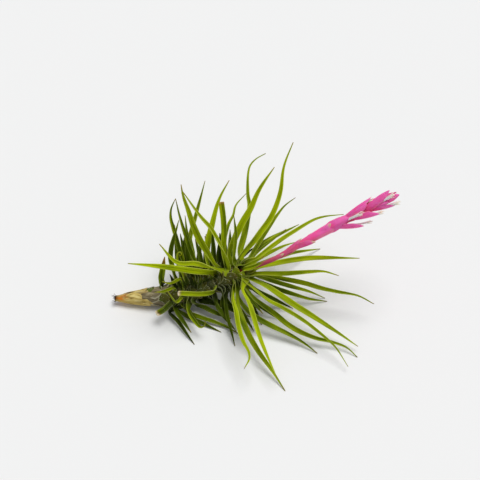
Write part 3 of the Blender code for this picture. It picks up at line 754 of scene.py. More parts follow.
@dataclass(frozen=True)
class Scurf:
    """The grey scales that drink for the plant, set by the hundred on the sheaths.

    Real ones are 0.1 to 0.3 mm wide. They are drawn at the upper end, so that they show."""

    density: float = 1.6  # a square millimetre, where the skin is greyest
    smallest: float = 0.11
    largest: float = 0.26
    sides: int = 6
    seed: int = 11

    def tree(self) -> bpy.types.GeometryNodeTree:
        """Builds the tree that strews the scales over a mesh, and returns it."""
        sizes = dict.fromkeys(("Density", "Smallest", "Largest"), "Float")
        inputs = {"Skin Mesh": "Geometry", **sizes, "Sides": "Int", "Seed": "Int", "Skin": "Material"}
        tree, given = modifier_tree("scurf_scales", inputs)
        grey = add(tree, NAMED, {"Name": "scurf"}, data_type="FLOAT")
        grey = add(tree, MATH, {0: grey, 1: grey}, operation="MULTIPLY")
        grey = add(tree, MATH, {0: grey, 1: given["Density"]}, operation="MULTIPLY")
        spots = add(
            tree,
            "GeometryNodeDistributePointsOnFaces",
            {"Mesh": given["Skin Mesh"], "Density": grey, "Seed": given["Seed"]},
        )
        scale = add(
            tree,
            "GeometryNodeMeshCone",
            {"Vertices": given["Sides"], "Radius Top": 0.0, "Radius Bottom": 1.0, "Depth": 0.35},
        )
        size = add(
            tree,
            "FunctionNodeRandomValue",
            {"Min": given["Smallest"], "Max": given["Largest"], "Seed": given["Seed"]},
            data_type="FLOAT",
        )
        set_on = add(
            tree,
            "GeometryNodeInstanceOnPoints",
            {"Points": spots, "Instance": scale, "Rotation": spots.outputs["Rotation"], "Scale": size},
        )
        single = add(tree, "GeometryNodeRealizeInstances", {"Geometry": set_on})
        skinned = add(tree, "GeometryNodeSetMaterial", {"Geometry": single, "Material": given["Skin"]})
        add(tree, "NodeGroupOutput", {0: skinned})
        return tree

    def strew(self, name: str, over: bpy.types.Object, skin: bpy.types.Material) -> bpy.types.Object:
        """Sets the scales on a mesh.

        Args:
            name: the new piece's name.
            over: the piece that carries them.
            skin: their material.

        Returns:
            The scales as one piece.
        """
        made = bpy.data.objects.new(name, over.data.copy())
        bpy.context.scene.collection.objects.link(made)
        settings = {
            "Density": self.density / MM**2,
            "Smallest": self.smallest * MM,
            "Largest": self.largest * MM,
            "Sides": self.sides,
            "Seed": self.seed,
            "Skin": skin,
        }
        return grown(made, self.tree(), settings)


@dataclass
class SkinNodes:
    """The node tree of a new material, and the attributes of a swept mesh that it reads."""

    name: str
    reads: tuple[str, ...] = ()

    def __post_init__(self) -> None:
        """Starts the material."""
        self.material = bpy.data.materials.new(self.name)
        self.material.use_nodes = True
        self.tree = self.material.node_tree
        self.read = {
            label: add(self.tree, "ShaderNodeAttribute", attribute_name=label).outputs["Fac"]
            for label in self.reads
        }

    @cached_property
    def section(self) -> bpy.types.NodeOutputs:
        """A point's place round the section, as X and Y from -1 to 1."""
        place = add(self.tree, "ShaderNodeAttribute", attribute_name="section").outputs["Vector"]
        return add(self.tree, "ShaderNodeSeparateXYZ", {0: place}).outputs

    def spot(self) -> bpy.types.Node:
        """The place on the skin: across the blade, along it, and the blade's own tone."""
        place = {"X": self.section["X"], "Y": self.read["run"], "Z": self.read["tone"]}
        return add(self.tree, "ShaderNodeCombineXYZ", place)

    def pattern(
        self, spot: bpy.types.Node, stretch: tuple[float, float, float], detail: float
    ) -> bpy.types.Node:
        """An uneven pattern over the skin.

        Args:
            spot: the place on the skin.
            stretch: how dense the pattern is along each of the place's three ways.
            detail: how many finer layers it has.

        Returns:
            The pattern, around 0.5.
        """
        place = add(self.tree, VECTOR, {0: spot, 1: stretch}, operation="MULTIPLY")
        return add(self.tree, "ShaderNodeTexNoise", {"Vector": place, "Scale": 1.0, "Detail": detail})

    def layered(self, colour: bpy.types.Node | tuple, *layers: tuple) -> bpy.types.Node:
        """Lays colours one over another.

        Args:
            colour: the lowest one.
            *layers: how far each further one covers what is under it, and its sRGB hex.

        Returns:
            The colour of them all.
        """
        for share, over in layers:
            blend = {"Factor": share, "A": colour, "B": linear(over)}
            colour = add(self.tree, "ShaderNodeMix", blend, data_type="RGBA")
        return colour

    def shaded(self, inputs: dict) -> bpy.types.Material:
        """Feeds the shader's inputs, and returns the finished material."""
        feed(self.tree, self.tree.nodes["Principled BSDF"], inputs)
        return self.material


@dataclass(frozen=True)
class GreenSkin:
    """Living leaf skin: a waxy cuticle over green tissue, satin, with fine lengthwise veins.

    The base is grey with scales, the margins are thin and pale, and the tip dries brown. The
    lowest tones are a painted shade, near-black green where the rosette is deep in shadow."""

    # painted shade: the near-black green of the lowest tones, on parts deep in the rosette
    shade: str = "#1A2602"
    deep: str = "#4C6000"
    bright: str = "#B4C606"
    deep_from: float = 0.38  # the tone at which the painted shade has given way to deep green
    grey: str = "#4E562C"
    margin: str = "#CDD35C"
    straw: str = "#9A6A22"
    under: str = "#6C7F08"
    silver: str = "#A8AC84"
    bleached: str = "#F2E2C4"
    gloss: str = "#E6EE9A"
    roughness: float = 0.45
    vein_spacing: float = 0.45  # mm

    def material(self) -> bpy.types.Material:
        """Builds the material."""
        skin = SkinNodes("living_leaf_cuticle", ("run", "tone", "dry", "scurf", "pale"))
        tree, read, section, spot = skin.tree, skin.read, skin.section, skin.spot()
        blotch = skin.pattern(spot, (0.6, 0.06, 31.0), 3.0)
        greener = add(
            tree,
            "ShaderNodeMapRange",
            {"Value": blotch, "From Min": 0.3, "From Max": 0.7, "To Min": -0.22, "To Max": 0.22},
        )
        tone = add(tree, MATH, {0: read["tone"], 1: greener}, operation="ADD", use_clamp=True)
        colour = add(tree, "ShaderNodeValToRGB", {"Fac": tone})
        ramp = colour.color_ramp
        ramp.elements[0].color = linear(self.shade)
        ramp.elements[1].color = linear(self.bright)
        ramp.elements.new(self.deep_from).color = linear(self.deep)
        veins = skin.pattern(spot, (3.4 / self.vein_spacing, 0.05, 19.0), 2.0)
        aside = add(tree, MATH, {0: section["X"]}, operation="ABSOLUTE")
        vein, back, edge = (
            add(tree, "ShaderNodeMapRange", inputs)
            for inputs in (
                {"Value": veins, "From Min": 0.4, "From Max": 0.65, "To Max": 0.3},
                {"Value": section["Y"], "From Min": 0.1, "From Max": -0.1, "To Max": 0.5},
                {"Value": aside, "From Min": 0.88, "From Max": 0.98},
            )
        )
        duller = add(tree, MATH, {0: vein, 1: back}, operation="MAXIMUM")
        duller = add(tree, MATH, {0: duller, 1: tone}, operation="MULTIPLY")
        thin = add(tree, MATH, {0: edge, 1: tone}, operation="MULTIPLY")
        mottle = skin.pattern(spot, (2.0, 0.9, 13.0), 4.0)
        greyed = add(tree, MATH, {0: mottle, 1: 0.5}, operation="ADD")
        greyed = add(tree, MATH, {0: greyed, 1: read["scurf"]}, operation="MULTIPLY", use_clamp=True)
        silvery = add(tree, MATH, {0: edge, 1: greyed}, operation="MULTIPLY")
        colour = skin.layered(
            colour,
            (duller, self.under),
            (thin, self.margin),
            (greyed, self.grey),
            (silvery, self.silver),
            (read["dry"], self.straw),
            (read["pale"], self.bleached),
        )
        inputs = {
            "Base Color": colour,
            "Roughness": add(
                tree, "ShaderNodeMapRange", {"Value": greyed, "To Min": self.roughness, "To Max": 0.9}
            ),
            "Normal": add(
                tree, "ShaderNodeBump", {"Height": veins, "Strength": 0.35, "Distance": 0.08 * MM}
            ),
            "Specular IOR Level": 0.16,
            "Specular Tint": linear(self.gloss),
            "Subsurface Weight": 0.12,
            "Subsurface Radius": (0.6, 1.0, 0.15),
            "Subsurface Scale": 0.6 * MM,
        }
        return skin.shaded(inputs)


@dataclass(frozen=True)
class TornSkin:
    """Dead sheath or stem: dry fibres, matt, streaked along, rotted towards the torn end."""

    name: str
    pale: str
    middle: str
    dark: str
    rust: str
    end: str
    rim: str
    weathered: str  # the side that faces up and back
    streaks: float = 5.0  # across the section
    up_and_back: tuple[float, float, float] = (-0.77, 0.64, 0.0)  # in the section's own frame
    roughness: float = 0.8
    bump: float = 0.15  # mm

    def material(self) -> bpy.types.Material:
        """Builds the material."""
        skin = SkinNodes(self.name, ("run", "tone", "dry", "pale"))
        tree, read, section = skin.tree, skin.read, skin.section
        run = add(tree, MATH, {0: read["run"], 1: 0.22}, operation="MULTIPLY")
        apart = add(tree, MATH, {0: read["tone"], 1: 29.0}, operation="MULTIPLY")
        run = add(tree, MATH, {0: run, 1: apart}, operation="ADD")
        spot = add(tree, "ShaderNodeCombineXYZ", {"X": section["X"], "Y": section["Y"], "Z": run})
        fibres = skin.pattern(spot, (self.streaks, self.streaks, 1.0), 5.0)
        colour = add(tree, "ShaderNodeValToRGB", {"Fac": fibres})
        ramp = colour.color_ramp
        ramp.elements[0].position = 0.32
        ramp.elements[0].color = linear(self.dark)
        ramp.elements[1].position = 0.66
        ramp.elements[1].color = linear(self.pale)
        ramp.elements.new(0.48).color = linear(self.middle)
        uneven = skin.pattern(spot, (1.3, 1.3, 1.2), 2.0)
        edge = add(tree, MATH, {0: section["X"]}, operation="ABSOLUTE")
        behind = add(tree, VECTOR, {0: spot, 1: self.up_and_back}, operation="DOT_PRODUCT")
        cloud, rusted, rotten, rim, greyed = (
            add(tree, "ShaderNodeMapRange", inputs)
            for inputs in (
                {"Value": uneven, "From Min": 0.4, "From Max": 0.6, "To Min": 0.15},
                {"Value": read["dry"], "From Min": 0.2, "From Max": 0.6},
                {"Value": read["dry"], "From Min": 0.75, "From Max": 0.97},
                {"Value": edge, "From Min": 0.8, "From Max": 0.97, "To Max": 0.8},
                {"Value": behind, "From Min": -0.45, "From Max": 0.3, "To Max": 0.9},
            )
        )
        colour = skin.layered(
            colour,
            (add(tree, MATH, {0: greyed, 1: cloud}, operation="MULTIPLY"), self.weathered),
            (add(tree, MATH, {0: rusted, 1: cloud}, operation="MULTIPLY"), self.rust),
            (rotten, self.end),
            (add(tree, MATH, {0: rim, 1: read["pale"]}, operation="MAXIMUM"), self.rim),
        )
        inputs = {
            "Base Color": colour,
            "Normal": add(
                tree, "ShaderNodeBump", {"Height": fibres, "Strength": 0.8, "Distance": self.bump * MM}
            ),
            "Roughness": self.roughness,
            "Specular IOR Level": 0.25,
        }
        return skin.shaded(inputs)


@dataclass(frozen=True)
class PinkSkin:
    """Flower bract: thin coloured tissue, satin, ribbed lengthwise, with a thin dull margin.

    Light passes into it a little, which makes the pink glow. It is dull and maroon where the
    scape leaves the crown, and brightens towards the flowers."""

    name: str = "flower_bract_tissue"
    low: str = "#FF5890"
    middle: str = "#FF5CAA"
    high: str = "#FF70B8"
    margin: str = "#EE8C9C"
    dull: str = "#D05A74"
    maroon: str = "#6B2C1A"
    bleached: str = "#D9D2A0"
    gloss: str = "#FFB8DC"
    roughness: float = 0.45

    def material(self) -> bpy.types.Material:
        """Builds the material."""
        skin = SkinNodes(self.name, ("run", "share", "tone", "dry", "pale"))
        tree, read, spot = skin.tree, skin.read, skin.spot()
        cloud = skin.pattern(spot, (1.2, 0.25, 23.0), 3.0)
        cloud = add(tree, MATH, {0: cloud, 1: 0.5}, operation="SUBTRACT")
        cloud = add(tree, MATH, {0: cloud, 1: 1.6}, operation="MULTIPLY")
        height = add(tree, MATH, {0: read["share"], 1: cloud}, operation="ADD", use_clamp=True)
        colour = add(tree, "ShaderNodeValToRGB", {"Fac": height})
        ramp = colour.color_ramp
        ramp.elements[0].position = 0.1
        ramp.elements[0].color = linear(self.low)
        ramp.elements[1].position = 0.9
        ramp.elements[1].color = linear(self.high)
        ramp.elements.new(0.45).color = linear(self.middle)
        edge = add(tree, MATH, {0: skin.section["X"]}, operation="ABSOLUTE")
        margin, duller, darker = (
            add(tree, "ShaderNodeMapRange", inputs)
            for inputs in (
                {"Value": edge, "From Min": 0.86, "To Max": 0.7},
                {"Value": read["dry"], "From Max": 0.55, "To Max": 0.95},
                {"Value": read["dry"], "From Min": 0.5, "From Max": 0.95},
            )
        )
        colour = skin.layered(
            colour,
            (margin, self.margin),
            (duller, self.dull),
            (darker, self.maroon),
            (read["pale"], self.bleached),
        )
        nerve = skin.pattern(spot, (9.0, 0.05, 17.0), 2.0)
        inputs = {
            "Base Color": colour,
            "Normal": add(tree, "ShaderNodeBump", {"Height": nerve, "Strength": 0.5, "Distance": 0.1 * MM}),
            "Roughness": self.roughness,
            "Specular IOR Level": 0.3,
            "Specular Tint": linear(self.gloss),
            "Subsurface Weight": 0.35,
            "Subsurface Radius": (1.0, 0.25, 0.6),
            "Subsurface Scale": 1.2 * MM,
        }
        return skin.shaded(inputs)


@dataclass(frozen=True)
class PetalSkin:
    """Petal: very thin white tissue that light passes through, withered to straw at its tip."""

    white: str = "#FFFDF8"
    straw: str = "#FBF0D4"
    roughness: float = 0.55

    def material(self) -> bpy.types.Material:
        """Builds the material."""
        skin = SkinNodes("white_petal_tissue", ("run", "tone", "dry"))
        tree = skin.tree
        vein = skin.pattern(skin.spot(), (5.0, 0.25, 41.0), 3.0)
        wither = add(tree, MATH, {0: vein, 1: 0.35}, operation="ADD")
        wither = add(tree, MATH, {0: wither, 1: skin.read["dry"]}, operation="MULTIPLY", use_clamp=True)
        inputs = {
            "Base Color": skin.layered(linear(self.white), (wither, self.straw)),
            "Normal": add(tree, "ShaderNodeBump", {"Height": vein, "Strength": 0.6, "Distance": 0.08 * MM}),
            "Roughness": self.roughness,
            "Subsurface Weight": 0.3,
            "Subsurface Radius": (1.0, 0.9, 0.7),
            "Subsurface Scale": 2.0 * MM,
        }
        return skin.shaded(inputs)


@dataclass(frozen=True)
class ScaleSkin:
    """Drinking scale: a dead, air-filled disc of cells, which looks like silver dust."""

    dusty: str = "#8E8D72"
    silver: str = "#B9B8A0"
    grain: float = 1.5  # spots a millimetre
    roughness: float = 0.7

    def material(self) -> bpy.types.Material:
        """Builds the material."""
        skin = SkinNodes("silver_scurf")
        place = add(skin.tree, "ShaderNodeTexCoord").outputs["Object"]
        dust = {"Vector": place, "Scale": self.grain / MM, "Detail": 1.0}
        dust = add(skin.tree, "ShaderNodeTexNoise", dust)
        colour = skin.layered(linear(self.dusty), (dust, self.silver))
        return skin.shaded({"Base Color": colour, "Roughness": self.roughness})


@dataclass(frozen=True)
class Shoot:
    """The axis that everything grows on, from the cut end at -X to the crown."""

    length: float = 63.0
    low: float = 3.7  # height of the cut end's axis over the table
    turn: float = 2.8  # power by which it turns up
    old: float = 20.0  # length of the dry foot
    old_radii: tuple[float, ...] = (1.3, 2.0, 2.9, 3.5, 4.1, 4.5, 4.7)
    radii: tuple[float, ...] = (4.6, 4.5, 4.3, 4.0, 3.7, 3.4, 3.2, 3.0)
    swing: float = 1.1  # how far the cut end comes forward of the crown
    sheath_stations: int = 18

    def point(self, along: float) -> np.ndarray:
        """The axis at a distance along X from the crown, negative towards the cut end."""
        rise = CROWN[2] - self.low
        share = max(0.0, 1 + along / self.length)
        aside = self.swing * (along / self.length) ** 2
        return CROWN + np.array([along, -aside, rise * (share**self.turn - 1)])

    def direction(self, along: float) -> np.ndarray:
        """The way the stem grows at a distance from the crown."""
        return unit(self.point(along + 0.5) - self.point(along - 0.5))

    def radius(self, along: float) -> float:
        """The stem's own radius at a distance from the crown."""
        foot = np.linspace(-self.length, -self.length + self.old, len(self.old_radii))
        if along < foot[-1]:
            return float(np.interp(along, foot, self.old_radii))
        return float(np.interp(along, np.linspace(foot[-1], 0, len(self.radii)), self.radii))

    def sheath(
        self, start: float, length: float, turn: float, lift: float
    ) -> tuple[np.ndarray, np.ndarray]:
        """The keel line of a sheath that clasps the shoot.

        Args:
            start: where it starts, along X from the crown.
            length: how long it is.
            turn: where it sits round the shoot, in radians from the back.
            lift: how far its end stands off.

        Returns:
            The line, and the way outwards at each point.
        """
        line, outward = [], []
        for along in np.linspace(start, start + length, self.sheath_stations):
            tangent = self.direction(along)
            back = unit(np.cross([0.0, 0.0, 1.0], tangent))
            out = math.cos(turn) * back + math.sin(turn) * np.cross(tangent, back)
            away = self.radius(along) - 0.2 + lift * ((along - start) / length) ** 2
            line.append(self.point(along) + away * out)
            outward.append(out)
        return np.array(line), np.array(outward)


@dataclass
class Foliage:
    """The leaves, each a channelled blade on a clasping sheath, and the green stem."""

    shoot: Shoot = field(default_factory=Shoot)
    stations: int = 42
    thick: float = 0.75
    blade_shares: tuple[float, ...] = (0, 0.15, 0.32, 0.5, 0.7, 0.85, 1)
    blade_widths: tuple[float, ...] = (0.9, 1.02, 1.08, 1, 0.72, 0.42, 0.1)  # times the middle one
    foot: float = 3.0  # a sheath starts so far behind the leaf's seat
    sheath_leaves: float = 4.2  # and leaves the stem so far before it
    sheath_end: float = 12.5  # the blade starts so far along the leaf
    sheath_half: tuple[float, ...] = (2.4, 3.7, 4.1, 3.3)  # at equal steps up to the blade
    inner: float = -10.0  # leaves seated beyond it are young ones, with little scurf
    viewer_side: float = math.radians(130)  # round the shoot from the back
    # Silvery cups at the feet of the front leaves, and young olive ones round the scape's foot:
    # start, length, degrees from the viewer's side, lift, how silvery, and tone.
    cups: tuple = (
        (-18.0, 9.0, 0.0, 3.5, 1.0, 0.1),
        (-14.0, 8.5, -25.0, 3.0, 1.0, 0.15),
        (-21.5, 9.0, 25.0, 2.5, 1.0, 0.1),
        (-7.0, 9.0, -40.0, 0.6, 0.25, 0.5),
        (-6.0, 8.5, 5.0, 0.9, 0.3, 0.55),
        (-6.5, 9.0, 45.0, 0.6, 0.25, 0.5),
    )
    channel: float = math.radians(27)
    most_twist: float = math.radians(110)
    seed: int = 5
    hidden_seed: int = 7
    hidden_count: int = 13
    hidden_first: float = -40.0
    hidden_last: float = -4.0
    hidden_round: float = math.radians(235)  # how far round the shoot they go
    hidden_under: float = math.radians(140)  # beyond it they are thin and painted darker, as shade
    hidden_spread: float = math.radians(50)  # from the shoot
    hidden_length: float = 27.0
    filler_first: float = -34.0
    upright_last: float = -7.0
    upright_fillers: int = 14
    front_last: float = -12.0
    front_fillers: int = 12
    bare_sheaths: int = 9  # grey ones that lost their blades
    small_sheaths: int = 24  # between them, on the side towards the viewer

    def hidden(self) -> list[Leaf]:
        """Short leaves under and behind the shoot, one each golden angle round its back half."""
        draw = np.random.default_rng(self.hidden_seed)
        found = []
        for k in range(self.hidden_count):
            along = (
                self.hidden_first
                + (self.hidden_last - self.hidden_first) * (k + 0.5) / self.hidden_count
            )
            seat = self.shoot.point(along)
            turn = (k * GOLDEN_ANGLE) % self.hidden_round
            length = self.hidden_length + 0.3 * k + 3 * draw.uniform(-1, 1)
            spread = self.hidden_spread + 0.15 * draw.uniform(-1, 1)
            across = length * math.sin(spread)
            tip = seat + np.array([length * math.cos(spread), -across * math.cos(turn), 0.0])
            tip[2] = max(FLOOR_LIFT, seat[2] - across * math.sin(turn))
            middle = 0.5 * (seat + tip) + np.array([0, 0, 1.5])
            run = [((p - CROWN) @ RIGHT, (p - CROWN) @ UP) for p in (middle, tip)]
            # the ones furthest under get a near-black tone, a painted shade
            width, tone = (1.9, 0.05) if turn > self.hidden_under else (2.4, 0.2)
            found.append(Leaf(along, (tip - CROWN) @ FORWARD, run, width, tone=tone))
        return found

    def fillers(self) -> list[Leaf]:
        """Short leaves between the long ones, darkened as painted shade: first those that stand up
        and back, and then those whose feet fill the side towards the viewer."""
        draw = np.random.default_rng(self.seed + 3)
        found = []
        for seat in np.linspace(self.filler_first, self.upright_last, self.upright_fillers):
            lean = draw.uniform(-3, 3)
            tall = draw.uniform(15, 24)
            run = [(seat + 3 + 0.2 * lean, 0.38 * tall), (seat + 2.5 + lean, tall)]
            found.append(Leaf(seat, draw.uniform(-22, -6), run, 2.8, tone=draw.uniform(0.1, 0.4)))
        for seat in np.linspace(self.filler_first, self.front_last, self.front_fillers):
            lean = draw.uniform(-1.2, 1.2)
            level = (self.shoot.point(seat) - CROWN) @ UP
            run = [(seat + 3 + lean, level + 5), (seat + 2 + 2 * lean, draw.uniform(-3, 0))]
            found.append(Leaf(seat, draw.uniform(0, 3), run, 2.1, tone=draw.uniform(0, 0.12)))
        return found

    def line(self, leaf: Leaf) -> tuple[np.ndarray, np.ndarray]:
        """The leaf's keel line, and the way from the stem to it at its foot."""
        seat = self.shoot.point(leaf.seat)
        growth = self.shoot.direction(leaf.seat)
        radius = self.shoot.radius(leaf.seat)
        start = np.array([(seat - CROWN) @ RIGHT, (seat - CROWN) @ UP])
        depth = (seat - CROWN) @ FORWARD
        run = [start, *np.array(leaf.run, float)]
        tip = leaf.forward
        if tip is None:
            tip = -(CROWN[2] - FLOOR_LIFT + run[-1][1] * UP[2]) / FORWARD[2]
        steps = np.cumsum([np.linalg.norm(b - a) for a, b in zip(run, run[1:])])
        points = [
            CROWN + p[0] * RIGHT + p[1] * UP + (depth + (tip - depth) * share) * FORWARD
            for p, share in zip(run[1:], steps / steps[-1])
        ]
        out = points[0] - seat
        out = unit(out - (out @ growth) * growth)
        foot = seat - self.foot * growth + (radius - 0.5) * out
        sheath = seat + self.sheath_leaves * growth + (radius + 0.3) * out
        line = smooth_line([foot, seat + radius * out, sheath, *points], self.stations)
        line[:, 2] = np.maximum(line[:, 2], FLOOR_LIFT)
        return line, out

    def ups(self, line: np.ndarray, first: np.ndarray) -> np.ndarray:
        """The side of the channel at each point: carried along without spin, turned to the light."""
        tangents = directions(line)
        normal, normals = first, []
        for tangent in tangents:
            normal = unit(normal - (normal @ tangent) * tangent)
            normals.append(normal)
        middle = len(line) // 2
        tangent, normal = tangents[middle], normals[middle]
        wanted = LIGHT - (LIGHT @ tangent) * tangent
        twist = math.atan2(np.cross(normal, wanted) @ tangent, normal @ wanted)
        twist = max(-self.most_twist, min(self.most_twist, twist))
        run = run_along(line)
        start = min(self.sheath_end - 4, 0.3 * run[-1])
        angles = twist * eased((run - start) / (0.55 * run[-1] - start))
        turned = [
            math.cos(a) * n + math.sin(a) * np.cross(t, n) for a, n, t in zip(angles, normals, tangents)
        ]
        return np.array(turned)

    def half(self, leaf: Leaf, along: float, length: float) -> float:
        """Half the leaf's width at a distance from its foot."""
        sheath_end = min(self.sheath_end, 0.45 * length)
        share = max(0.0, (along - sheath_end) / (length - sheath_end))
        narrowed = 1.0
        if leaf.tip not in (Tip.CUT_DRY, Tip.CUT_FRESH):
            narrowed = np.interp(share ** (1 / leaf.taper), self.blade_shares, self.blade_widths)
        blade = 0.5 * leaf.width * narrowed
        wide = np.interp(along / sheath_end, np.linspace(0, 1, len(self.sheath_half)), self.sheath_half)
        fading = eased(along / sheath_end - 0.6)
        widest = wide if leaf.width > 2 else 0.8 * wide
        return float(widest + (blade - widest) * min(1.0, 2.2 * fading))

    def rail(self, leaf: Leaf, draw: np.random.Generator) -> Rail:
        """One leaf's line and sections.

        Args:
            leaf: the leaf.
            draw: for its small differences from the next leaf.

        Returns:
            The rail.
        """
        line, out = self.line(leaf)
        run = run_along(line)
        length = run[-1]
        sheath_end = min(self.sheath_end, 0.45 * length)
        half = np.array([self.half(leaf, along, length) for along in run])
        clasp = 1 - eased(run / sheath_end - 0.35)
        folded = self.channel * (1 - clasp) * draw.uniform(0.85, 1.15)
        curl = 0.15 + clasp * half / (self.shoot.radius(leaf.seat) + 0.5)
        left = length - run
        withered, most, bleached = {
            Tip.THREAD: (draw.uniform(1.5, 4.5), draw.uniform(0.4, 0.9), 0.0),
            Tip.WITHERED: (8.0, 0.9, 0.0),
            Tip.CURLED: (7.0, 0.3, 0.0),
            Tip.CUT_DRY: (1.8, 1.0, 0.1),
            Tip.CUT_FRESH: (2.6, 0.6, 0.9),
        }[leaf.tip]
        dry = most * min(1.0, 0.2 + 2 * leaf.tone) * eased(1 - left / withered)
        pale = bleached * eased(1 - left / (0.5 * withered))
        grey = 0.3 if leaf.seat > self.inner else 0.7
        reach = draw.uniform(7, 11) * (1.7 if leaf.tip is Tip.CUT_FRESH else 1.0)
        scurf = grey * (1 - eased((run - 0.45 * sheath_end) / reach))
        thick = self.thick * (0.5 + 0.5 * np.clip(half / 1.2, 0, 1)) * (1 - 0.45 * clasp)
        tone = float(np.clip(leaf.tone + draw.uniform(-0.08, 0.08), 0, 1))
        ups = self.ups(line, -out)
        return Rail(line, ups, half, folded, curl, thick, dry, scurf, pale, tone=tone)

    def rails(self) -> list[Rail]:
        """Every leaf's rail."""
        draw = np.random.default_rng(self.seed)
        return [self.rail(leaf, draw) for leaf in [*LEAVES, *self.hidden(), *self.fillers()]]

    def stem(self) -> Rail:
        """The green stem itself, from the dry foot to the crown."""
        along = np.linspace(-self.shoot.length + self.shoot.old + 0.3, 0, 30)
        line = np.array([self.shoot.point(a) for a in along])
        radii = np.array([self.shoot.radius(a) for a in along]) - 0.3
        # tone 0 paints the stem near-black green, as shade in the rosette's middle
        return tube_rail(line, radii, scurf=0.8, tone=0.0)

    def sheaths(self) -> list[Rail]:
        """Grey sheaths of lost leaves round the lower part of the stem, smaller ones that fill
        the side towards the viewer, and silvery cups round the feet of the front leaves."""
        draw = np.random.default_rng(self.seed + 1)
        first = -self.shoot.length + self.shoot.old + 0.8
        places = [
            (start, 11.0, k * GOLDEN_ANGLE, 2.2, 0.6, None)
            for k, start in enumerate(np.linspace(first, -18, self.bare_sheaths))
        ]
        for k, start in enumerate(np.linspace(first - 1.5, -7, self.small_sheaths)):
            turn = self.viewer_side + math.radians(190) * (((k * 0.618) % 1) - 0.5)
            places.append((start, draw.uniform(7, 10.5), turn, draw.uniform(0.8, 3.2), 0.6, None))
        for start, length, aside, lift, silver, tone in self.cups:
            places.append((start, length, self.viewer_side + math.radians(aside), lift, silver, tone))
        rails = []
        for start, length, turn, lift, silver, given in places:
            line, outward = self.shoot.sheath(start, length, turn, lift)
            share = np.linspace(0, 1, len(line))
            half = draw.uniform(3.2, 4.3) * np.interp(share, [0, 0.45, 0.8, 1], [0.7, 1, 0.85, 0.3])
            curl = half / (self.shoot.radius(start) + 0.8)
            dry = draw.uniform(0.0, 0.12) + 0.1 * eased((share - 0.8) / 0.2)
            ragged = 0.8 * eased((share - 0.7) / 0.3)
            # low tones paint the sheaths dark green, as shade between the leaf bases
            tone = draw.uniform(0.0, 0.25) if given is None else given
            rails.append(Rail(line, -outward, half, 0.05, curl, 0.3, dry, silver, 0.0, ragged, tone))
        return rails

    def build(self, skin: bpy.types.Material, silver: bpy.types.Material) -> None:
        """Makes the leaves, the stem with its sheaths, and the scales on their skin."""
        blades = swept("leaves", self.rails(), Sweep(ruffle=0.5), skin)
        stem = swept("leafy_shoot", [self.stem()], Sweep(around=28, relief=0.5), skin)
        sheaths = swept("grey_sheaths", self.sheaths(), Sweep(ruffle=1.2, relief=0.15), skin)
        shoot = joined("leafy_shoot", [stem, sheaths])
        scurf = Scurf()
        dust = [
            scurf.strew("leaf_scurf", blades, silver),
            scurf.strew("shoot_scurf", shoot, silver),
        ]
        mount(blades, "leaf_green", "leafy_stem")
        mount(shoot, "leaf_green", "leafy_stem")
        mount(joined("scurf", dust), "leaf_green")


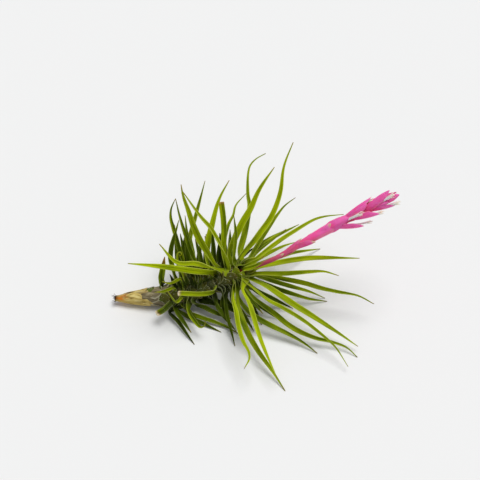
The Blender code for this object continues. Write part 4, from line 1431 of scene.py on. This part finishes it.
@dataclass
class DryFoot:
    """The dead lower end of the shoot: its stem, papery sheaths, and frayed fibres."""

    shoot: Shoot = field(default_factory=Shoot)
    scales: int = 6
    scale_length: float = 8.5
    scale_lift: float = 0.9
    scale_half: float = 3.8
    collar: int = 9  # wider sheaths, where the foot meets the green shoot
    rusty_beyond: float = 53.0  # from the crown
    fibres: int = 24
    fibre_length: tuple[float, float] = (1.0, 3.0)
    fibre_radius: tuple[float, float] = (0.1, 0.26)
    seed: int = 3

    def stem(self) -> Rail:
        """The stem's own tapering end."""
        along = np.linspace(-self.shoot.length, -self.shoot.length + self.shoot.old, 40)
        line = np.array([self.shoot.point(a) for a in along])
        radii = np.array([self.shoot.radius(a) for a in along])
        rotten = 1 - (along - along[0]) / 9.0
        return tube_rail(line, radii, dry=np.clip(rotten, 0, 1), tone=0.4, ragged=1.6 * eased(rotten - 0.2))

    def sheaths(self) -> tuple[list[Rail], list[Rail]]:
        """Six sheaths that lie close along the foot, and wider, looser ones round its upper end."""
        draw = np.random.default_rng(self.seed + 1)
        first = -self.shoot.length + 4.5
        last = -self.shoot.length + self.shoot.old - self.scale_length - 0.4
        places = [
            (start, self.scale_length, k * GOLDEN_ANGLE, 0.5 * self.scale_lift, self.scale_half)
            for k, start in enumerate(np.linspace(first, last, self.scales))
        ]
        for k, start in enumerate(np.linspace(last + 1, last + 9, self.collar)):
            turn = math.radians(-100) + 0.8 * k * GOLDEN_ANGLE
            places.append((start, draw.uniform(7, 10), turn, draw.uniform(0.3, 1.4), draw.uniform(3.6, 4.6)))
        rails = []
        for start, length, turn, lift, wide in places:
            line, outward = self.shoot.sheath(start, length, turn, lift)
            share = np.linspace(0, 1, len(line))
            half = wide * np.interp(share, [0, 0.5, 0.85, 1], [0.6, 1, 0.8, 0.45])
            curl = half / (self.shoot.radius(start + 0.5 * length) + 0.7)
            torn = 1.4 * eased((share - 0.6) / 0.4)
            pale = 0.6 * eased((share - 0.9) / 0.1)
            rusty = 0.55 * eased((-start - length * share - self.rusty_beyond) / 6)
            tone = draw.uniform()
            rails.append(Rail(line, -outward, half, 0.05, curl, 0.3, rusty, 0, pale, torn, tone))
        return rails[: self.scales], rails[self.scales :]

    def threads(self) -> list[Rail]:
        """Frayed fibres and root stubs at the cut end."""
        draw = np.random.default_rng(self.seed)
        end = self.shoot.point(-self.shoot.length)
        rails = []
        for k in range(self.fibres):
            turn = 2 * math.pi * (k + draw.uniform()) / self.fibres
            out = np.array([0.0, math.cos(turn), math.sin(turn)])
            start = end + out * 1.3 * draw.uniform(0.1, 1) + np.array([1.2, 0, 0])
            way = unit(np.array([-1.0, 0, 0]) + out * draw.uniform(0.0, 0.8))
            length = draw.uniform(*self.fibre_length)
            bend = draw.normal(0, 0.35, 3) * length
            shares = np.linspace(0, 1, 7)
            line = np.array([start + way * length * s + bend * s * s for s in shares])
            line[:, 2] = np.maximum(line[:, 2], 0.15)
            radii = draw.uniform(*self.fibre_radius) * (1 - 0.75 * shares)
            rails.append(tube_rail(line, radii, dry=draw.uniform(), tone=draw.uniform()))
        return rails

    def build(
        self, bark: bpy.types.Material, paper: bpy.types.Material, fibre: bpy.types.Material
    ) -> None:
        """Makes the foot's pieces."""
        rough = Sweep(around=40, relief=0.5, relief_across=3.5, relief_along=0.1)
        torn = Sweep(ruffle=1.2, relief=0.2, relief_across=5.0)
        close, loose = self.sheaths()
        papery = [swept("close_sheaths", close, torn, bark), swept("papery_sheaths", loose, torn, paper)]
        mount(swept("dry_foot", [self.stem()], rough, bark), "dry_stem", "old_stem")
        mount(joined("papery_sheaths", papery), "dry_stem", "old_stem")
        mount(swept("frayed_fibres", self.threads(), Sweep(around=6), fibre), "dry_stem")


@dataclass
class Spike:
    """The scape with its clasping bracts, and the pink bracts of the spike."""

    line_points: tuple = ((0, 0, 0), (14.6, 1.2, 6.5), (30.4, 4.7, 15.6), (52, 9.9, 28.2), (73, 13.9, 39.7))
    foot: float = 4.0
    radii: tuple[float, ...] = (1.0, 1.0, 1.05, 1.4, 2.1, 2.6, 2.0, 1.4, 0.9)
    bract_foot: float = 0.8
    bract_curve: float = 0.85  # a little fuller than the solid's
    stations: int = 24
    maroon_to: float = 46.0  # the scape is dull from the crown up to here
    scape_first: float = 14.0  # the first of the bracts that lie flat on the scape
    scape_step: float = 5.6
    scape_length: float = 12.0
    scape_sizes: tuple = ((2.0, 3.4), (2.2, 3.8), (2.4, 4.4), (3.2, 5.8), (3.2, 6.0), (3.2, 6.0))
    seed: int = 9

    def __post_init__(self) -> None:
        """Works out the axis once."""
        points = [CROWN + np.array(p, float) for p in self.line_points]
        self.axis = smooth_line(points, 60)
        self.run = run_along(self.axis)
        self.tangents = directions(self.axis)

    def place(self, along: float) -> tuple[np.ndarray, np.ndarray, np.ndarray]:
        """A point on the axis, its direction there, and the way to the viewer across it."""
        spot = np.array([np.interp(along, self.run, self.axis[:, k]) for k in range(3)])
        tangent = unit(np.array([np.interp(along, self.run, self.tangents[:, k]) for k in range(3)]))
        facing = unit(FORWARD - (FORWARD @ tangent) * tangent)
        return spot + max(0.0, along - self.run[-1]) * tangent, tangent, facing

    def bract_line(self, bract: Bract, count: int) -> tuple[np.ndarray, np.ndarray]:
        """The keel line of a bract, and the way outwards at each point."""
        turn = math.radians(bract.turn)
        points, outward = [], []
        for share in np.linspace(0, 1, count):
            spot, tangent, facing = self.place(bract.seat + bract.length * share)
            out = math.cos(turn) * facing + math.sin(turn) * np.cross(tangent, facing)
            early = math.sin(0.5 * math.pi * share)
            rise = self.bract_curve * early + (1 - self.bract_curve) * share**2
            stand = self.bract_foot + (bract.spread - self.bract_foot) * rise
            points.append(spot + stand * out)
            outward.append(out)
        return np.array(points), np.array(outward)

    def scape_bracts(self) -> list[Bract]:
        """The bracts that lie flat on the scape, one each golden angle round it."""
        return [
            Bract(
                self.scape_first + self.scape_step * k,
                math.degrees(k * GOLDEN_ANGLE),
                self.scape_length,
                spread,
                width,
            )
            for k, (spread, width) in enumerate(self.scape_sizes)
        ]

    def dullness(self, along: np.ndarray | float) -> np.ndarray | float:
        """How far the skin is dull and maroon at a distance along the spike."""
        return np.clip(1 - along / self.maroon_to, 0, 1)

    def bract_rail(self, bract: Bract, tone: float, pale: float) -> Rail:
        """One bract's rail. pale is how far its tip is bleached."""
        line, outward = self.bract_line(bract, self.stations)
        share = np.linspace(0, 1, len(line))
        half = 0.5 * bract.width * np.interp(share, [0, 0.4, 0.75, 0.93, 1], [0.6, 1, 0.85, 0.35, 0.04])
        thick = np.interp(share, [0, 0.8, 1], [0.5, 0.35, 0.2])
        dull = self.dullness(bract.seat + bract.length * share)
        bleached = pale * eased((share - 0.8) / 0.15)
        return Rail(line, -outward, half, 0.35, 0.75, thick, dull, 0, bleached, 0, tone)

    def build(self, pink: bpy.types.Material) -> None:
        """Makes the scape and the bracts."""
        draw = np.random.default_rng(self.seed)
        start, tangent, _ = self.place(0)
        line = np.array([start - self.foot * tangent, *self.axis[::2]])
        run = run_along(line)
        radii = np.interp(run, np.linspace(0, self.foot + self.run[-1], len(self.radii)), self.radii)
        dull = self.dullness(run - self.foot)
        scape = swept("scape", [tube_rail(line, radii, dry=dull)], Sweep(around=20, relief=0.2), pink)
        rails = [self.bract_rail(b, draw.uniform(), 0.8) for b in self.scape_bracts()]
        rails += [self.bract_rail(b, draw.uniform(), 0.0) for b in SPIKE_BRACTS]
        ribbed = Sweep(around=32, keel=0.5, ribs=16.0, rib=0.03, ruffle=0.5)
        bracts = swept("bracts", rails, ribbed, pink)
        mount(scape, "bract_pink", "flower_spike")
        mount(bracts, "bract_pink", "flower_spike")


@dataclass
class Flowers:
    """Seven small flowers, each of three petals that meet in a tube, with withered tips."""

    spike: Spike
    radii: tuple[float, ...] = (0.5, 0.7, 0.75, 1.0)
    stations: int = 20
    seed: int = 21

    def rails(self, flower: Bract, draw: np.random.Generator) -> list[Rail]:
        """The three petals and the threads inside them."""
        line, outward = self.spike.bract_line(flower, self.stations)
        ahead = directions(line)
        share = np.linspace(0, 1, len(line))
        radius = np.interp(share, np.linspace(0, 1, len(self.radii)), self.radii)
        radius = radius * flower.width / Bract.width
        rails = []
        for petal in range(3):
            turn = 2 * math.pi * petal / 3 + draw.uniform(-0.3, 0.3)
            out = math.cos(turn) * outward + math.sin(turn) * np.cross(ahead, outward)
            flare = draw.uniform(0.2, 0.9) * eased((share - 0.8) / 0.2)
            keel = line + (radius * 0.75 + flare)[:, None] * out
            half = radius * np.interp(share, [0, 0.5, 0.85, 1], [1.0, 1.0, 1.15, 0.35])
            dry = eased((share - 0.72) / 0.28)
            rails.append(
                Rail(keel, -out, half, 0.15, 0.95, 0.16, dry, 0, 0, 1.2 * dry, draw.uniform())
            )
        for _ in range(3):
            off = draw.normal(0, 0.25, 3)
            thread = line[8:] + np.outer(share[8:] ** 2, off) + 0.8 * np.outer(share[8:] ** 6, ahead[-1])
            rails.append(tube_rail(thread, np.full(len(thread), 0.09), dry=0.9, tone=draw.uniform()))
        return rails

    def build(self, skin: bpy.types.Material) -> None:
        """Makes each flower as a piece of its own."""
        draw = np.random.default_rng(self.seed)
        for number, flower in enumerate(FLOWERS, 1):
            piece = swept(f"petals_{number}", self.rails(flower, draw), Sweep(around=16, ruffle=0.5), skin)
            mount(piece, "petal_white", f"flower_{number}")


@dataclass(frozen=True)
class Studio:
    """A plain pale table, a soft sky, one soft lamp, and the camera."""

    distance: float = 666.7
    lens: float = 100.0
    sensor: float = 36.0
    right: float = 1.0  # of the picture's middle from the crown
    up: float = 16.0
    table: str = "#EEEEED"
    table_half: float = 3.0  # metres
    table_roughness: float = 0.9
    sky_colour: str = "#F6F7FA"
    sky_power: float = 0.39
    lamp_power: float = 2.22
    lamp_width: float = 36.0  # degrees
    lamp_turn: tuple[float, float, float] = (-10.0, 12.0, 0.0)  # degrees from straight down

    def camera(self) -> None:
        """Looks down on the plant at VIEW_TILT."""
        target = CROWN + self.right * RIGHT + self.up * UP
        data = bpy.data.cameras.new("camera")
        data.lens = self.lens
        data.sensor_width = self.sensor
        data.clip_end = 100
        made = bpy.data.objects.new("camera", data)
        made.location = (target + self.distance * FORWARD) * MM
        made.rotation_euler = (math.pi / 2 - VIEW_TILT, 0, 0)
        bpy.context.scene.collection.objects.link(made)
        bpy.context.scene.camera = made

    def floor(self) -> None:
        """A wide matt table top."""
        mesh = bpy.data.meshes.new("table_top")
        far = self.table_half
        mesh.from_pydata([(-far, -far, 0), (far, -far, 0), (far, far, 0), (-far, far, 0)], [], [(0, 1, 2, 3)])
        made = bpy.data.objects.new("table_top", mesh)
        laminate = {"Base Color": linear(self.table), "Roughness": self.table_roughness}
        mesh.materials.append(SkinNodes("matt_white_laminate").shaded(laminate))
        bpy.context.scene.collection.objects.link(made)
        made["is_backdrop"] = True

    def sun(self) -> None:
        """A soft lamp, high up behind the plant's right side."""
        data = bpy.data.lights.new("softbox", "SUN")
        data.angle = math.radians(self.lamp_width)
        data.energy = self.lamp_power
        made = bpy.data.objects.new("softbox", data)
        made.rotation_euler = [math.radians(a) for a in self.lamp_turn]
        bpy.context.scene.collection.objects.link(made)

    def sky(self) -> None:
        """An even white light from all round."""
        world = bpy.data.worlds.new("sky")
        world.use_nodes = True
        shade = world.node_tree.nodes["Background"]
        shade.inputs["Color"].default_value = linear(self.sky_colour)
        shade.inputs["Strength"].default_value = self.sky_power
        bpy.context.scene.world = world

    def build(self) -> None:
        """Sets the whole studio."""
        self.camera()
        self.floor()
        self.sky()
        self.sun()
        bpy.context.scene.view_settings.view_transform = "Standard"


def main() -> None:
    """Builds the studio and every piece of the plant in order."""
    logging.basicConfig(level=logging.INFO, format="%(name)s: %(message)s")
    Studio().build()
    leaf = GreenSkin().material()
    silver = ScaleSkin().material()
    bark = TornSkin(
        name="dead_stem_fibre",
        pale="#E0CE86",
        middle="#C0A75A",
        dark="#6E5526",
        rust="#D07A14",
        end="#24160C",
        rim="#C0A75A",
        weathered="#7E6C50",
        streaks=3.0,
    ).material()
    paper = TornSkin(
        name="papery_sheath",
        pale="#A89C7A",
        middle="#7A6E50",
        dark="#4A4230",
        rust="#9A7232",
        end="#3A2A18",
        rim="#D2CCAC",
        weathered="#66604A",
    ).material()
    fibre = TornSkin(
        name="root_fibre",
        pale="#4A3A28",
        middle="#2A2018",
        dark="#120D0A",
        rust="#3A2412",
        end="#0C0907",
        rim="#2A2018",
        weathered="#2A2018",
    ).material()
    pink = PinkSkin().material()
    petal = PetalSkin().material()
    Foliage().build(leaf, silver)
    DryFoot().build(bark, paper, fibre)
    spike = Spike()
    spike.build(pink)
    Flowers(spike).build(petal)


if __name__ == "__main__":
    main()
    boxes = {
        "cad": [[float(x) for x in corner] for corner in CAD_BOX],
        "visual": [[float(x) for x in corner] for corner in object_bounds()],
    }
